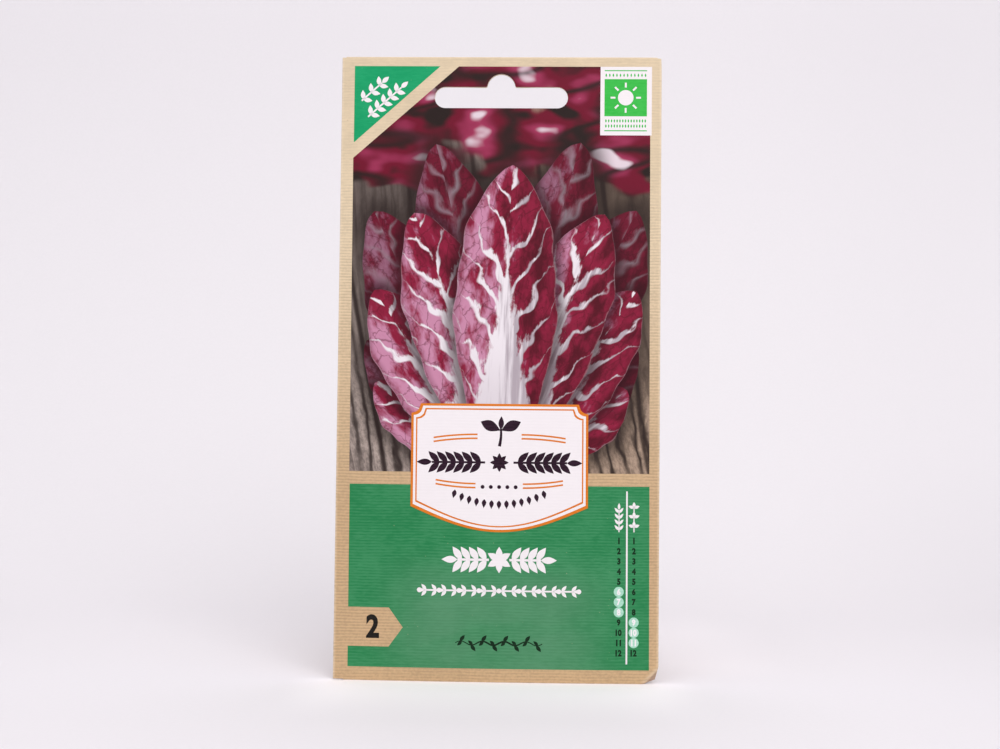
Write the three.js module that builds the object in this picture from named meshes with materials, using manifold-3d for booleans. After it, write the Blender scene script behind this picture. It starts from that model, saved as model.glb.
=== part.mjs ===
// Paper seed packet, standing on its folded base. Millimetres, +Z up, printed front towards -Y.
// One kraft sheet is folded into a flat tube and lapped down the middle of the back. Its lower end turns under
// and up the back as a flap, and its upper end turns over and down the back as a flap. Glue holds every lap, a
// hang slot is punched through the header, and the seeds lie at the bottom.
import * as THREE from 'three';
import { mergeVertices } from 'three/addons/utils/BufferGeometryUtils.js';
import Module from 'manifold-3d';

const wasm = await Module();
wasm.setup();

// Packet
const WIDTH = 82.6; // outside the side folds
const HEIGHT = 160; // base to top fold
const LEAN = THREE.MathUtils.degToRad(2); // backwards, from the base up

// Paper and glue
const SHEET = 0.16; // thickness of the paper
const GAP = 0.2; // between two layers of paper, where the glue lies
const GLUE = 0.06; // thickness of the glue
const LAYER = SHEET + GAP; // from the middle of one layer of paper to the middle of the next

// Bulge of the middle of each panel, out of the plane of the side folds
const FRONT_AT_BASE = 1;
const FRONT_AT_BELLY = 1.8;
const BACK_AT_BASE = 7;
const BACK_AT_BELLY = 8.2;
const BELLY_Z = 22; // where the packet is thickest
const POCKET_TOP = 127; // the header is glued flat above this

// Laps and flaps of the back
const LAP = 12; // width that the two back panels share
const CLIMB = 3; // width over which one layer climbs onto another
const BOTTOM_FLAP = 20; // from the base to the free edge
const BOTTOM_FLAP_INSET = 2.5; // from the side fold, at the base
const TOP_FLAP = 30; // from the top fold to the free edge
const TOP_FLAP_INSET = 0.8; // from the side fold, at the top
const FLAP_TAPER = 3.5; // how much each flap draws in on each side towards its free edge
const CREASE = 0.3; // rounding of a flap's fold at the back

// Hang slot
const SLOT_WIDTH = 34.4;
const SLOT_HEIGHT = 5.5;
const SLOT_DROP = 10.6; // from the top fold to the middle of the slot
const NOTCH_WIDTH = 7.3; // of the round notch over the middle
const NOTCH_HEIGHT = 3.4;
const NOTCH_FLARE = 0.5; // rounding where the notch runs into the slot

// Corners bent back by handling: legs of the bent triangle along x and z, radius of the bend at its face, angle
// past which it runs on straight, and how far behind that face the packet still bends with it
const LOWER_CORNER = { x: WIDTH / 2, z: 0, along: 4.5, up: 4.5, radius: 0.7, turn: 0.85, face: -0.3, depth: 0.5 };
const UPPER_CORNER = { x: WIDTH / 2, z: HEIGHT, along: 3, up: -4, radius: 7, turn: 1.5, face: -0.3, depth: 2 };

// Seeds
const SEED_LENGTH = 2.6;
const SEED_WIDTH = 1.3;
const HEAP_HALF_WIDTH = 33;
const HEAP_DEPTH = 17; // at the middle
const HEAP_SLUMP = 5; // how much lower it lies at its ends
const HEAP_CLEARANCE = 0.45; // to the paper round it
const SEEDS_ON_TOP = 45;
const SEED_LANES = 3; // from the front to the back of the heap
const SEED_SINK = 0.25; // of each top seed into the heap

// Fineness of the meshes
const SIDE_COLUMNS = 8;
const LEVELS = 18;
const FOLD_STEPS = 4;
const FLAP_ROWS = 6;
const HEAP_LEVELS = 4;

const FOLD_RADIUS = LAYER / 2; // of the middle of the paper
const PANEL_HALF = WIDTH / 2 - FOLD_RADIUS - SHEET / 2; // from the middle to where the fold begins
const LAP_FOOT = LAP / 2 + CLIMB; // where a layer starts to climb onto the laps

const { clamp, lerp } = THREE.MathUtils;

const finish = (color, roughness) => new THREE.MeshStandardMaterial({ color, roughness, metalness: 0 });
const kraft = finish(0xd6b78c, 0.85);
const driedGlue = finish(0xe8e2cf, 0.45);
const seedBrown = finish(0xb49468, 0.8);

// Even steps from one number to another
const steps = (from, to, count) => Array.from({ length: count + 1 }, (_, k) => lerp(from, to, k / count));

// Bulge of the middle of a panel at height z: it grows to the belly, and dies out below the header
function bulge(z, atBase, atBelly) {
  if (z < BELLY_Z) return lerp(atBase, atBelly, Math.sin((Math.PI / 2) * (z / BELLY_Z)));
  const rise = clamp((z - BELLY_Z) / (POCKET_TOP - BELLY_Z), 0, 1);
  return atBelly * (0.5 + 0.5 * Math.cos(Math.PI * rise));
}

// Middle of the paper of each panel. Across the packet, the bulge is an arch that meets the side folds.
const arch = (x) => 1 - (x / PANEL_HALF) ** 2;
const frontY = (x, z) => -FOLD_RADIUS - bulge(z, FRONT_AT_BASE, FRONT_AT_BELLY) * arch(x);
const backY = (x, z) => FOLD_RADIUS + bulge(z, BACK_AT_BASE, BACK_AT_BELLY) * arch(x);

// The outer lap climbs onto the inner one from its own side, and a flap climbs onto both from either side
const climb = (x) => LAYER * clamp((LAP_FOOT - x) / CLIMB, 0, 1);
const outerLapY = (x, z) => backY(x, z) + climb(x);
const flapY = (x, z) => backY(x, z) + LAYER + climb(Math.abs(x));

// Rolls what lies past a corner's crease back round a cylinder, and lets it run on straight past the bend. The
// face keeps its length, and what is deeper than the bend reaches only moves with it.
function bendCorner(point, corner) {
  const length = Math.hypot(corner.along, corner.up);
  const outX = Math.abs(corner.up) / length;
  const outZ = (-Math.sign(corner.up) * corner.along) / length;
  const past = (point.x - corner.x + corner.along) * outX + (point.z - corner.z) * outZ;
  if (past <= 0) return;
  const angle = Math.min(past / corner.radius, corner.turn);
  const straight = past - angle * corner.radius;
  const arm = corner.radius - Math.min(point.y - corner.face, corner.depth);
  const shift = arm * Math.sin(angle) + straight * Math.cos(angle) - past;
  point.x += outX * shift;
  point.y += arm * (1 - Math.cos(angle)) + straight * Math.sin(angle);
  point.z += outZ * shift;
}

// Takes a place on the straight packet to its place on the bent and leaning one
function settle(x, y, z) {
  const point = new THREE.Vector3(x, y, z);
  bendCorner(point, LOWER_CORNER);
  bendCorner(point, UPPER_CORNER);
  point.y += point.z * Math.tan(LEAN);
  return point;
}

// Closed solid between two grids of points. Seen from outside, the first grid's columns run to the right and
// its rows upwards.
function slab(near, far) {
  const rows = near.length;
  const columns = near[0].length;
  const triangles = [];
  const onNear = (i, j) => i * columns + j;
  const onFar = (i, j) => (rows + i) * columns + j;
  const quad = (a, b, c, d) => triangles.push(a, b, c, a, c, d);
  for (let i = 1; i < rows; i += 1) {
    for (let j = 1; j < columns; j += 1) {
      quad(onNear(i - 1, j - 1), onNear(i - 1, j), onNear(i, j), onNear(i, j - 1));
      quad(onFar(i - 1, j - 1), onFar(i, j - 1), onFar(i, j), onFar(i - 1, j));
    }
    quad(onNear(i - 1, 0), onNear(i, 0), onFar(i, 0), onFar(i - 1, 0));
    quad(onNear(i, columns - 1), onNear(i - 1, columns - 1), onFar(i - 1, columns - 1), onFar(i, columns - 1));
  }
  for (let j = 1; j < columns; j += 1) {
    quad(onNear(0, j), onNear(0, j - 1), onFar(0, j - 1), onFar(0, j));
    quad(onNear(rows - 1, j - 1), onNear(rows - 1, j), onFar(rows - 1, j), onFar(rows - 1, j - 1));
  }
  const geometry = new THREE.BufferGeometry();
  const coordinates = [near, far].flat(2).flatMap((point) => point.toArray());
  geometry.setAttribute('position', new THREE.Float32BufferAttribute(coordinates, 3));
  geometry.setIndex(triangles);
  return geometry;
}

// Closed sheet of even thickness, half of it on each side of a grid of points
function sheet(grid, thickness) {
  const offset = (distance) => grid.map((row, i) => row.map((point, j) => {
    const along = row[Math.min(j + 1, row.length - 1)].clone().sub(row[Math.max(j - 1, 0)]);
    const up = grid[Math.min(i + 1, grid.length - 1)][j].clone().sub(grid[Math.max(i - 1, 0)][j]);
    return point.clone().addScaledVector(along.cross(up).normalize(), distance);
  }));
  return slab(offset(thickness / 2), offset(-thickness / 2));
}

// Places across the packet from -half to half, closer together towards the side folds, with one at each end of
// every climb
function columnsTo(half) {
  if (half <= LAP_FOOT) return [-half, 0, half];
  const side = steps(0, 1, SIDE_COLUMNS).map((t) => lerp(LAP_FOOT, half, Math.sin((Math.PI / 2) * t)));
  return [...side.map((x) => -x).reverse(), -LAP / 2, 0, LAP / 2, ...side];
}

// Heights of the rows of a panel that stops short of the base and the top, closer together towards the base
const heights = (short) => steps(0, 1, LEVELS).map((t) => lerp(short, HEIGHT - short, t * t));

// The folded tube in the order of the sheet: inner back panel, side fold, front, side fold, outer back panel.
// Each place on it says its x and y at height z, and how far the paper stops short of the base and the top.
function tubeGrid() {
  const columns = columnsTo(PANEL_HALF);
  const panel = (places, yAt, short) => places.map((x) => ({ at: (z) => [x, yAt(x, z)], short }));
  const fold = (side) => steps(0, 1, FOLD_STEPS).slice(1, -1).map((t) => {
    const angle = Math.PI * (side < 0 ? 0.5 + t : 1.5 + t);
    const place = [side * PANEL_HALF + FOLD_RADIUS * Math.cos(angle), FOLD_RADIUS * Math.sin(angle)];
    return { at: () => place, short: LAYER * (side < 0 ? 1 - t : t) };
  });
  const places = [
    ...panel(columns.filter((x) => x <= LAP / 2).reverse(), backY, LAYER),
    ...fold(-1),
    ...panel(columns, frontY, SHEET / 4),
    ...fold(1),
    ...panel(columns.filter((x) => x >= -LAP / 2).reverse(), outerLapY, LAYER),
  ];
  return steps(0, 1, LEVELS).map((_, level) => places.map(({ at, short }) => {
    const z = heights(short)[level];
    return settle(...at(z), z);
  }));
}

// A flap and the strip that joins it to the front panel: from the front's edge at edgeZ across to the back,
// round the crease, and along the back, up (direction 1) or down (-1), to the free edge
function flapGrid(edgeZ, direction, length, inset) {
  const stripZ = edgeZ + (direction * SHEET) / 2;
  const strip = steps(0, 1, 3).map((t) => ({
    at: (x) => [lerp(frontY(x, stripZ), flapY(x, stripZ) - CREASE, t), stripZ],
    half: PANEL_HALF - inset,
  }));
  const flap = steps(0, 1, FLAP_ROWS).map((t) => {
    const z = edgeZ + direction * lerp(CREASE, length, t);
    return { at: (x) => [flapY(x, z), z], half: PANEL_HALF - inset - FLAP_TAPER * t };
  });
  return [...strip, ...flap].map(({ at, half }) => columnsTo(half).map((x) => settle(x, ...at(x))));
}

// Film of glue between two layers, from low to high, with its rows at the heights of the paper's rows
function glueFilm(half, low, high, yAt) {
  const rows = [low, ...heights(LAYER).filter((z) => z > low && z < high), high];
  return sheet(rows.map((z) => columnsTo(half).map((x) => settle(x, yAt(x, z), z))), GLUE);
}

// Cutter for the hang slot: a long slot with round ends and a round notch over its middle
function slotCutter() {
  const half = SLOT_HEIGHT / 2;
  const end = SLOT_WIDTH / 2 - half;
  const radius = NOTCH_WIDTH / 2;
  const middle = half + NOTCH_HEIGHT - radius;
  const start = Math.asin((half + NOTCH_FLARE - middle) / radius);
  const side = radius * Math.cos(start);
  const depth = 4 * BACK_AT_BELLY;
  const outline = new THREE.Shape();
  outline.moveTo(-end, -half);
  outline.lineTo(end, -half);
  outline.absarc(end, 0, half, -Math.PI / 2, Math.PI / 2);
  outline.lineTo(side + NOTCH_FLARE, half);
  outline.quadraticCurveTo(side, half, side, half + NOTCH_FLARE);
  outline.absarc(0, middle, radius, start, Math.PI - start);
  outline.quadraticCurveTo(-side, half, -side - NOTCH_FLARE, half);
  outline.lineTo(-end, half);
  outline.absarc(-end, 0, half, Math.PI / 2, 1.5 * Math.PI);
  const cutter = new THREE.ExtrudeGeometry(outline, { depth, bevelEnabled: false, curveSegments: 8 });
  cutter.rotateX(Math.PI / 2);
  cutter.translate(0, depth / 2, HEIGHT - SLOT_DROP);
  return cutter;
}

// One seed lying along x: a narrow foot, five sides that widen, and a blunt crown
function seedGeometry() {
  const reach = SEED_LENGTH / 2;
  const profile = [[0, -reach], [0.22, -0.95 * reach], [0.5, 0.3 * reach], [0.36, reach], [0, reach]];
  const lathe = new THREE.LatheGeometry(profile.map(([r, h]) => new THREE.Vector2(r * SEED_WIDTH, h)), 5);
  return lathe.rotateZ(Math.PI / 2);
}

const heapTop = (x) => HEAP_DEPTH - HEAP_SLUMP * (x / HEAP_HALF_WIDTH) ** 2;
const heapFrontY = (x, z) => frontY(x, z) + SHEET / 2 + HEAP_CLEARANCE;
const heapBackY = (x, z) => backY(x, z) - SHEET / 2 - HEAP_CLEARANCE;

// The bulk of the heap, up to the paper on every side
function heapBulk() {
  const grid = (yAt) => steps(0, 1, HEAP_LEVELS).map((t) => columnsTo(HEAP_HALF_WIDTH).map((x) => {
    const z = lerp(SHEET + HEAP_CLEARANCE, heapTop(x), t);
    return settle(x, yAt(x, z), z);
  }));
  return slab(grid(heapFrontY), grid(heapBackY));
}

// Seeds that lie on top of the heap, in lanes from front to back, each turned its own way
function topSeeds() {
  return Array.from({ length: SEEDS_ON_TOP }, (_, k) => {
    const x = (HEAP_HALF_WIDTH - SEED_LENGTH) * (2 * ((k + 0.5) / SEEDS_ON_TOP) - 1);
    const z = heapTop(x) - SEED_SINK;
    const lane = ((k % SEED_LANES) + 1) / (SEED_LANES + 1);
    const seed = seedGeometry();
    seed.rotateX(2.4 * k);
    seed.rotateY(0.35 * Math.sin(2.4 * k));
    seed.rotateZ(0.4 * Math.sin(1.7 * k));
    const middle = settle(x, lerp(heapFrontY(x, z), heapBackY(x, z), lane), z);
    return seed.translate(middle.x, middle.y, middle.z);
  });
}

// Solid for cutting and joining, from a closed geometry
function toSolid(geometry) {
  geometry.deleteAttribute('normal');
  geometry.deleteAttribute('uv');
  const merged = mergeVertices(geometry);
  return new wasm.Manifold(new wasm.Mesh({
    numProp: 3,
    vertProperties: merged.attributes.position.array,
    triVerts: Uint32Array.from(merged.index.array),
  }));
}

// Geometry of a solid, ready for a mesh
function toGeometry(solid) {
  const { vertProperties, triVerts } = solid.getMesh();
  const geometry = new THREE.BufferGeometry();
  geometry.setAttribute('position', new THREE.BufferAttribute(vertProperties, 3));
  geometry.setIndex(new THREE.BufferAttribute(triVerts, 1));
  geometry.computeVertexNormals();
  return geometry;
}

const joined = (geometries) => geometries.map(toSolid).reduce((whole, piece) => whole.add(piece));

const slot = toSolid(slotCutter());
const paper = joined([
  sheet(tubeGrid(), SHEET),
  sheet(flapGrid(0, 1, BOTTOM_FLAP, BOTTOM_FLAP_INSET), SHEET),
  sheet(flapGrid(HEIGHT, -1, TOP_FLAP, TOP_FLAP_INSET), SHEET),
]).subtract(slot);
const headerGlue = toSolid(glueFilm(PANEL_HALF - 2, POCKET_TOP + 1, HEIGHT - 1, () => 0)).subtract(slot);
const underFlap = (x, z) => flapY(x, z) - LAYER / 2;
const topGlue = toSolid(glueFilm(PANEL_HALF - 6, HEIGHT - TOP_FLAP + 1, HEIGHT - 1, underFlap)).subtract(slot);
const bottomGlue = toSolid(glueFilm(PANEL_HALF - 6, 2, BOTTOM_FLAP - 1, underFlap));
const underLap = (x, z) => backY(x, z) + LAYER / 2;
const slotFoot = HEIGHT - SLOT_DROP - SLOT_HEIGHT / 2;
const slotHead = HEIGHT - SLOT_DROP + SLOT_HEIGHT / 2 + NOTCH_HEIGHT;
const seamGlue = toSolid(glueFilm(LAP / 2, 1, slotFoot - 0.5, underLap));
const seamTopGlue = toSolid(glueFilm(LAP / 2, slotHead + 0.5, HEIGHT - 1, underLap));
const heap = joined([heapBulk(), ...topSeeds()]);

const packet = new THREE.Group();
const add = (name, solid, material) => {
  const mesh = new THREE.Mesh(toGeometry(solid), material);
  mesh.name = name;
  packet.add(mesh);
};
add('paper_envelope', paper, kraft);
add('back_seam_glue', seamGlue, driedGlue);
add('back_seam_top_glue', seamTopGlue, driedGlue);
add('header_glue', headerGlue, driedGlue);
add('bottom_flap_glue', bottomGlue, driedGlue);
add('top_flap_glue', topGlue, driedGlue);
add('seed_heap', heap, seedBrown);

// The origin is on the surface that the packet stands on, under the middle of its width and depth
const bounds = new THREE.Box3().setFromObject(packet);
const middle = bounds.getCenter(new THREE.Vector3());
packet.position.set(-middle.x, -middle.y, -bounds.min.z);

export default packet;
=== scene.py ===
"""Looks of a standing paper seed packet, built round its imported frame.

The packet is one sheet of ribbed kraft paper, folded into a flat tube with a lapped back seam, closed by a
flap at each end and printed on its front. Every shape is first worked out in millimetres on a flat panel,
with x across the packet and z up it. PacketForm.settle then takes it onto the bulged, bent and leaning
packet, in metres.
"""

import logging
import math
from collections.abc import Iterable
from dataclasses import dataclass
from enum import Enum

import bpy
import numpy as np
from mathutils import Matrix, Vector


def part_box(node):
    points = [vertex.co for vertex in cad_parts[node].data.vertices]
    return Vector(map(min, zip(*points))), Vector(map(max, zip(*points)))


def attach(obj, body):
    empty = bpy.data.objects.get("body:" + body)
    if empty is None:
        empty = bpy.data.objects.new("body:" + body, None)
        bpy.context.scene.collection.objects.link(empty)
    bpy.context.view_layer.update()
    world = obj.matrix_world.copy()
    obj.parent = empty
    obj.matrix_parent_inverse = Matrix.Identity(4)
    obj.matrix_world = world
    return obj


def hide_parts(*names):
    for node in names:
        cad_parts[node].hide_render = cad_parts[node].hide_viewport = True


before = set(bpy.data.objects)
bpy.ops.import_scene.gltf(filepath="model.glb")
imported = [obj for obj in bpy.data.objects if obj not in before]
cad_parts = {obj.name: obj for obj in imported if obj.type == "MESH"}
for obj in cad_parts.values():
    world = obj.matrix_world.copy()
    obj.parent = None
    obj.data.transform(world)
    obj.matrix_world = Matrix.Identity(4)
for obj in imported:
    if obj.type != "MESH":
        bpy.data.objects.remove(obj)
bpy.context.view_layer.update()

MM = 0.001
LAYERS = 7
FAR_OFF = 99.0
SHARP_ANGLE = 42.0
Array = np.ndarray
Line = Array | float
Colour = tuple[float, float, float]
log = logging.getLogger("seed_packet")


# Shapes on a flat panel


def shares(count: int) -> Array:
    """Even steps from 0 to 1."""
    return np.linspace(0.0, 1.0, count)


def quarter(count: int) -> Array:
    """Even steps of angle over a quarter turn."""
    return np.linspace(0.0, math.pi / 2, count)


def circle(sides: int) -> Array:
    """Even steps of angle round a circle."""
    return np.linspace(0.0, 2.0 * math.pi, sides, endpoint=False)


def both_sides(right: Array) -> Array:
    """Places across on both sides, from the middle one and those to its right."""
    return np.concatenate([-right[:0:-1], right])


def as_points(*parts: Line) -> Array:
    """Points, one row each, from their parts."""
    return np.stack([part.ravel() for part in np.broadcast_arrays(*parts)], axis=1)


def smooth_step(low: float, high: float, value: Array) -> Array:
    """Rises from 0 at low to 1 at high: 3 t squared less 2 t cubed, with t the clipped share of the way."""
    t = np.clip((value - low) / (high - low), 0.0, 1.0)
    return t * t * (3.0 - 2.0 * t)


def grid_faces(index: Array) -> Array:
    """Quads between neighbours of a grid of point numbers, anticlockwise where columns run right, rows up."""
    corners = (index[:-1, :-1], index[:-1, 1:], index[1:, 1:], index[1:, :-1])
    return np.stack([corner.ravel() for corner in corners], axis=1)


def shared_numbers(points: Array) -> Array:
    """Numbers a grid of points. A point that lies on the one in the row before takes its number.

    Args:
        points: Rows by columns by parts.

    Returns:
        The numbers, rows by columns.
    """
    index = np.arange(points[..., 0].size).reshape(points.shape[:2])
    index[1:][np.isclose(points[1:], points[:-1]).all(axis=-1)] = 0
    return np.maximum.accumulate(index, axis=0)


def tidy_faces(faces: Array) -> Array:
    """Turns each quad with two like neighbouring corners into a triangle, and drops those with more.

    Args:
        faces: Rows of four point numbers.

    Returns:
        The faces left, each triangle with its last two numbers alike.
    """
    same = faces == np.roll(faces, -1, axis=1)
    faces, same = faces[same.sum(axis=1) < 2], same[same.sum(axis=1) < 2]
    turn = np.where(same.any(axis=1), same.argmax(axis=1) - 2, 0)
    return np.take_along_axis(faces, (np.arange(4) + turn[:, None]) % 4, axis=1)


@dataclass
class Patch:
    """A flat shape on a panel: its places and the faces between them.

    A triangle is a face whose last two point numbers are alike. lift is the layer that each point lies in,
    where shapes overlap.
    """

    places: Array
    faces: Array
    lift: Line = 0.0

    @staticmethod
    def woven(places: Array, faces: Array) -> "Patch":
        """A shape from faces that may have no area and points that may have no face. Both are dropped."""
        used, faces = np.unique(tidy_faces(faces), return_inverse=True)
        return Patch(places[used], faces.reshape(-1, 4))

    @staticmethod
    def joined(patches: Iterable["Patch"]) -> "Patch":
        """Puts shapes together, each still apart from the others and in the layer over the last one's.

        Args:
            patches: The shapes.

        Returns:
            All of them as one patch.
        """
        kept = list(patches)
        starts = np.cumsum([0] + [len(patch.places) for patch in kept[:-1]])
        faces = [patch.faces + start for patch, start in zip(kept, starts)]
        lift = [np.full(len(patch.places), k % LAYERS) for k, patch in enumerate(kept)]
        return Patch(*(np.concatenate(parts) for parts in ([patch.places for patch in kept], faces, lift)))

    def moved(self, x: float, z: float = 0.0) -> "Patch":
        """The same shape, shifted by x and z."""
        return Patch(self.places + (x, z), self.faces, self.lift)

    def turned(self, degrees: float) -> "Patch":
        """The same shape, turned anticlockwise about the panel's origin."""
        c, s = math.cos(math.radians(degrees)), math.sin(math.radians(degrees))
        return Patch(self.places @ np.array([[c, s], [-s, c]]), self.faces, self.lift)

    def fanned(self, angles: Iterable[float]) -> list["Patch"]:
        """Copies of the shape, each turned by its own angle."""
        return [self.turned(angle) for angle in angles]

    def mirrored(self) -> "Patch":
        """The same shape on the other side of the panel's middle, its faces turned round again."""
        return Patch(self.places * (-1.0, 1.0), self.faces[:, [1, 0, 3, 2]], self.lift)


def columns_between(x: Array, *blocks: tuple[Line, Line, int]) -> Patch:
    """A shape over x in blocks: row k of a block's n lies k / n of the way from its lower to its upper curve.

    Args:
        x: Places of the columns.
        blocks: Lower curve, upper curve and rows of quads of each block, from the lowest up.

    Returns:
        The patch. Blocks share their points where they touch.
    """
    grids = []
    for low, high, rows in blocks:
        z = low + (high - low) * shares(rows + 1)[:, None]
        grids.append(np.stack(np.broadcast_arrays(x, z), axis=-1))
    places = np.concatenate(grids)
    starts = np.cumsum([len(grid) for grid in grids])[:-1]
    faces = [grid_faces(block) for block in np.split(shared_numbers(places), starts)]
    return Patch.woven(places.reshape(-1, 2), np.concatenate(faces))


def rectangle(left: float, low: float, right: float, high: float, step: float = 1.5) -> Patch:
    """A rectangle with quads of about the given side."""
    x = np.linspace(left, right, max(1, round((right - left) / step)) + 1)
    return columns_between(x, (low, high, max(1, round((high - low) / step))))


def stroke(x: Line, z: Line, width: Line) -> Patch:
    """A band along a path: each point of it, moved half the width to either side across its direction.

    Args:
        x: Places across along the path.
        z: Their heights.
        width: Width of the band.

    Returns:
        The patch.
    """
    points = as_points(x, z)
    along = np.gradient(points, axis=0)
    along /= np.linalg.norm(along, axis=1, keepdims=True)
    half = np.broadcast_to(width, len(points)) / 2
    across = as_points(-along[:, 1], along[:, 0]) * half[:, None]
    places = np.concatenate([points - across, points + across])
    return Patch(places, grid_faces(np.arange(len(places)).reshape(2, -1)))


def disc(radius: float, sides: int = 24) -> Patch:
    """A disc: triangles from its middle to points at angle 2 pi k / sides on its rim.

    Args:
        radius: Its radius.
        sides: Points on its rim.

    Returns:
        The patch, its middle at the panel's origin.
    """
    rim = as_points(np.cos(circle(sides)), np.sin(circle(sides))) * radius
    index = 1 + np.arange(sides + 1) % sides
    return Patch(np.concatenate([[[0.0, 0.0]], rim]), as_points(index[:-1], index[1:], 0, 0))


def blade(length: float, width: float, fullest: float = 0.45) -> Patch:
    """A pointed leaf along x. Its half width at share t is the sine of pi t, t to a power that suits fullest.

    Args:
        length: From its foot, at the origin, to its tip.
        width: Where it is fullest.
        fullest: Share of the length at which it is.

    Returns:
        The patch.
    """
    t = shares(11)
    half = width / 2 * np.sin(math.pi * t ** (math.log(0.5) / math.log(fullest)))
    half[[0, -1]] = 0.0
    return columns_between(t * length, (-half, half, 2))


def sprig(reach: float, leaves: int, length: float, width: float, slant: float, stem: float = 0.3) -> Patch:
    """A twig along x, from the origin, with pairs of leaves and one at its tip.

    Args:
        reach: Length of the stem.
        leaves: Pairs of leaves.
        length: Of a leaf.
        width: Of a leaf.
        slant: Degrees between a leaf and the stem.
        stem: Width of the stem.

    Returns:
        The patch.
    """
    parts = [stroke(np.linspace(0.0, reach, 9), 0.0, stem)]
    leaf = blade(length, width)
    for foot in np.linspace(0.08, 0.86, leaves) * reach:
        parts += [pair.moved(foot) for pair in leaf.fanned((slant, -slant))]
    return Patch.joined(parts + [leaf.moved(reach)])


def figures(text: str, height: float, narrow: float, weight: float) -> Patch:
    """Plain numerals, centred on the panel's origin.

    Args:
        text: Numerals to set.
        height: Height of a numeral.
        narrow: Width over the typeface's own width.
        weight: How far every outline is moved outwards, over the typeface's size.

    Returns:
        The patch, made of the typeface's own triangles.
    """
    curve = bpy.data.curves.new("figures", "FONT")
    curve.body, curve.resolution_u, curve.offset = text, 4, weight
    setting = bpy.data.objects.new("figures", curve)
    mesh = setting.to_mesh()
    mesh.calc_loop_triangles()
    places = np.empty(3 * len(mesh.vertices))
    mesh.vertices.foreach_get("co", places)
    corners = np.empty(3 * len(mesh.loop_triangles), int)
    mesh.loop_triangles.foreach_get("vertices", corners)
    setting.to_mesh_clear()
    bpy.data.objects.remove(setting)
    bpy.data.curves.remove(curve)
    # The typeface gives each glyph's rim and faces their own points: like places become one point
    places = np.round(places.reshape(-1, 3)[:, :2], 5)
    places, merged = np.unique(places, axis=0, return_inverse=True)
    corners = merged.reshape(-1)[corners.reshape(-1, 3)]
    edge, other = places[corners[:, 1]] - places[corners[:, 0]], places[corners[:, 2]] - places[corners[:, 0]]
    area = edge[:, 0] * other[:, 1] - edge[:, 1] * other[:, 0]
    corners = np.where(area[:, None] < 0, corners[:, ::-1], corners)[abs(area) > 1e-9]
    places -= (places.min(axis=0) + places.max(axis=0)) / 2
    scale = height / np.ptp(places[:, 1])
    return Patch.woven(places * (scale * narrow, scale), corners[:, [0, 1, 2, 2]])


# The form of the packet


@dataclass(frozen=True)
class BentCorner:
    """A corner of the packet that handling has bent back round a cylinder.

    along and up are the legs of the bent triangle, radius is the bend's own at its face, turn is the angle
    past which it runs on straight, and depth is how far behind that face the packet still bends.
    """

    x: float
    z: float
    along: float
    up: float
    radius: float
    turn: float
    face: float
    depth: float

    @property
    def outwards(self) -> tuple[float, float]:
        """Direction across the crease, towards the corner."""
        length = math.hypot(self.along, self.up)
        return abs(self.up) / length, -math.copysign(self.along, self.up) / length

    def past(self, x: Array, z: Array) -> Array:
        """How far places lie past the crease, below 0 on the flat side."""
        out_x, out_z = self.outwards
        return (x - self.x + self.along) * out_x + (z - self.z) * out_z

    def bend(self, points: Array) -> Array:
        """Rolls what lies past the crease: its distance past becomes an arc and then a straight line.

        Args:
            points: Points in millimetres, one row each.

        Returns:
            The points after the bend.
        """
        (x, y, z), (out_x, out_z) = points.T, self.outwards
        past = np.maximum(self.past(x, z), 0.0)
        angle = np.minimum(past / self.radius, self.turn)
        straight = past - angle * self.radius
        arm = self.radius - np.minimum(y - self.face, self.depth)
        shift = arm * np.sin(angle) + straight * np.cos(angle) - past
        back = arm * (1.0 - np.cos(angle)) + straight * np.sin(angle)
        return as_points(x + out_x * shift, y + back, z + out_z * shift)


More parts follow.
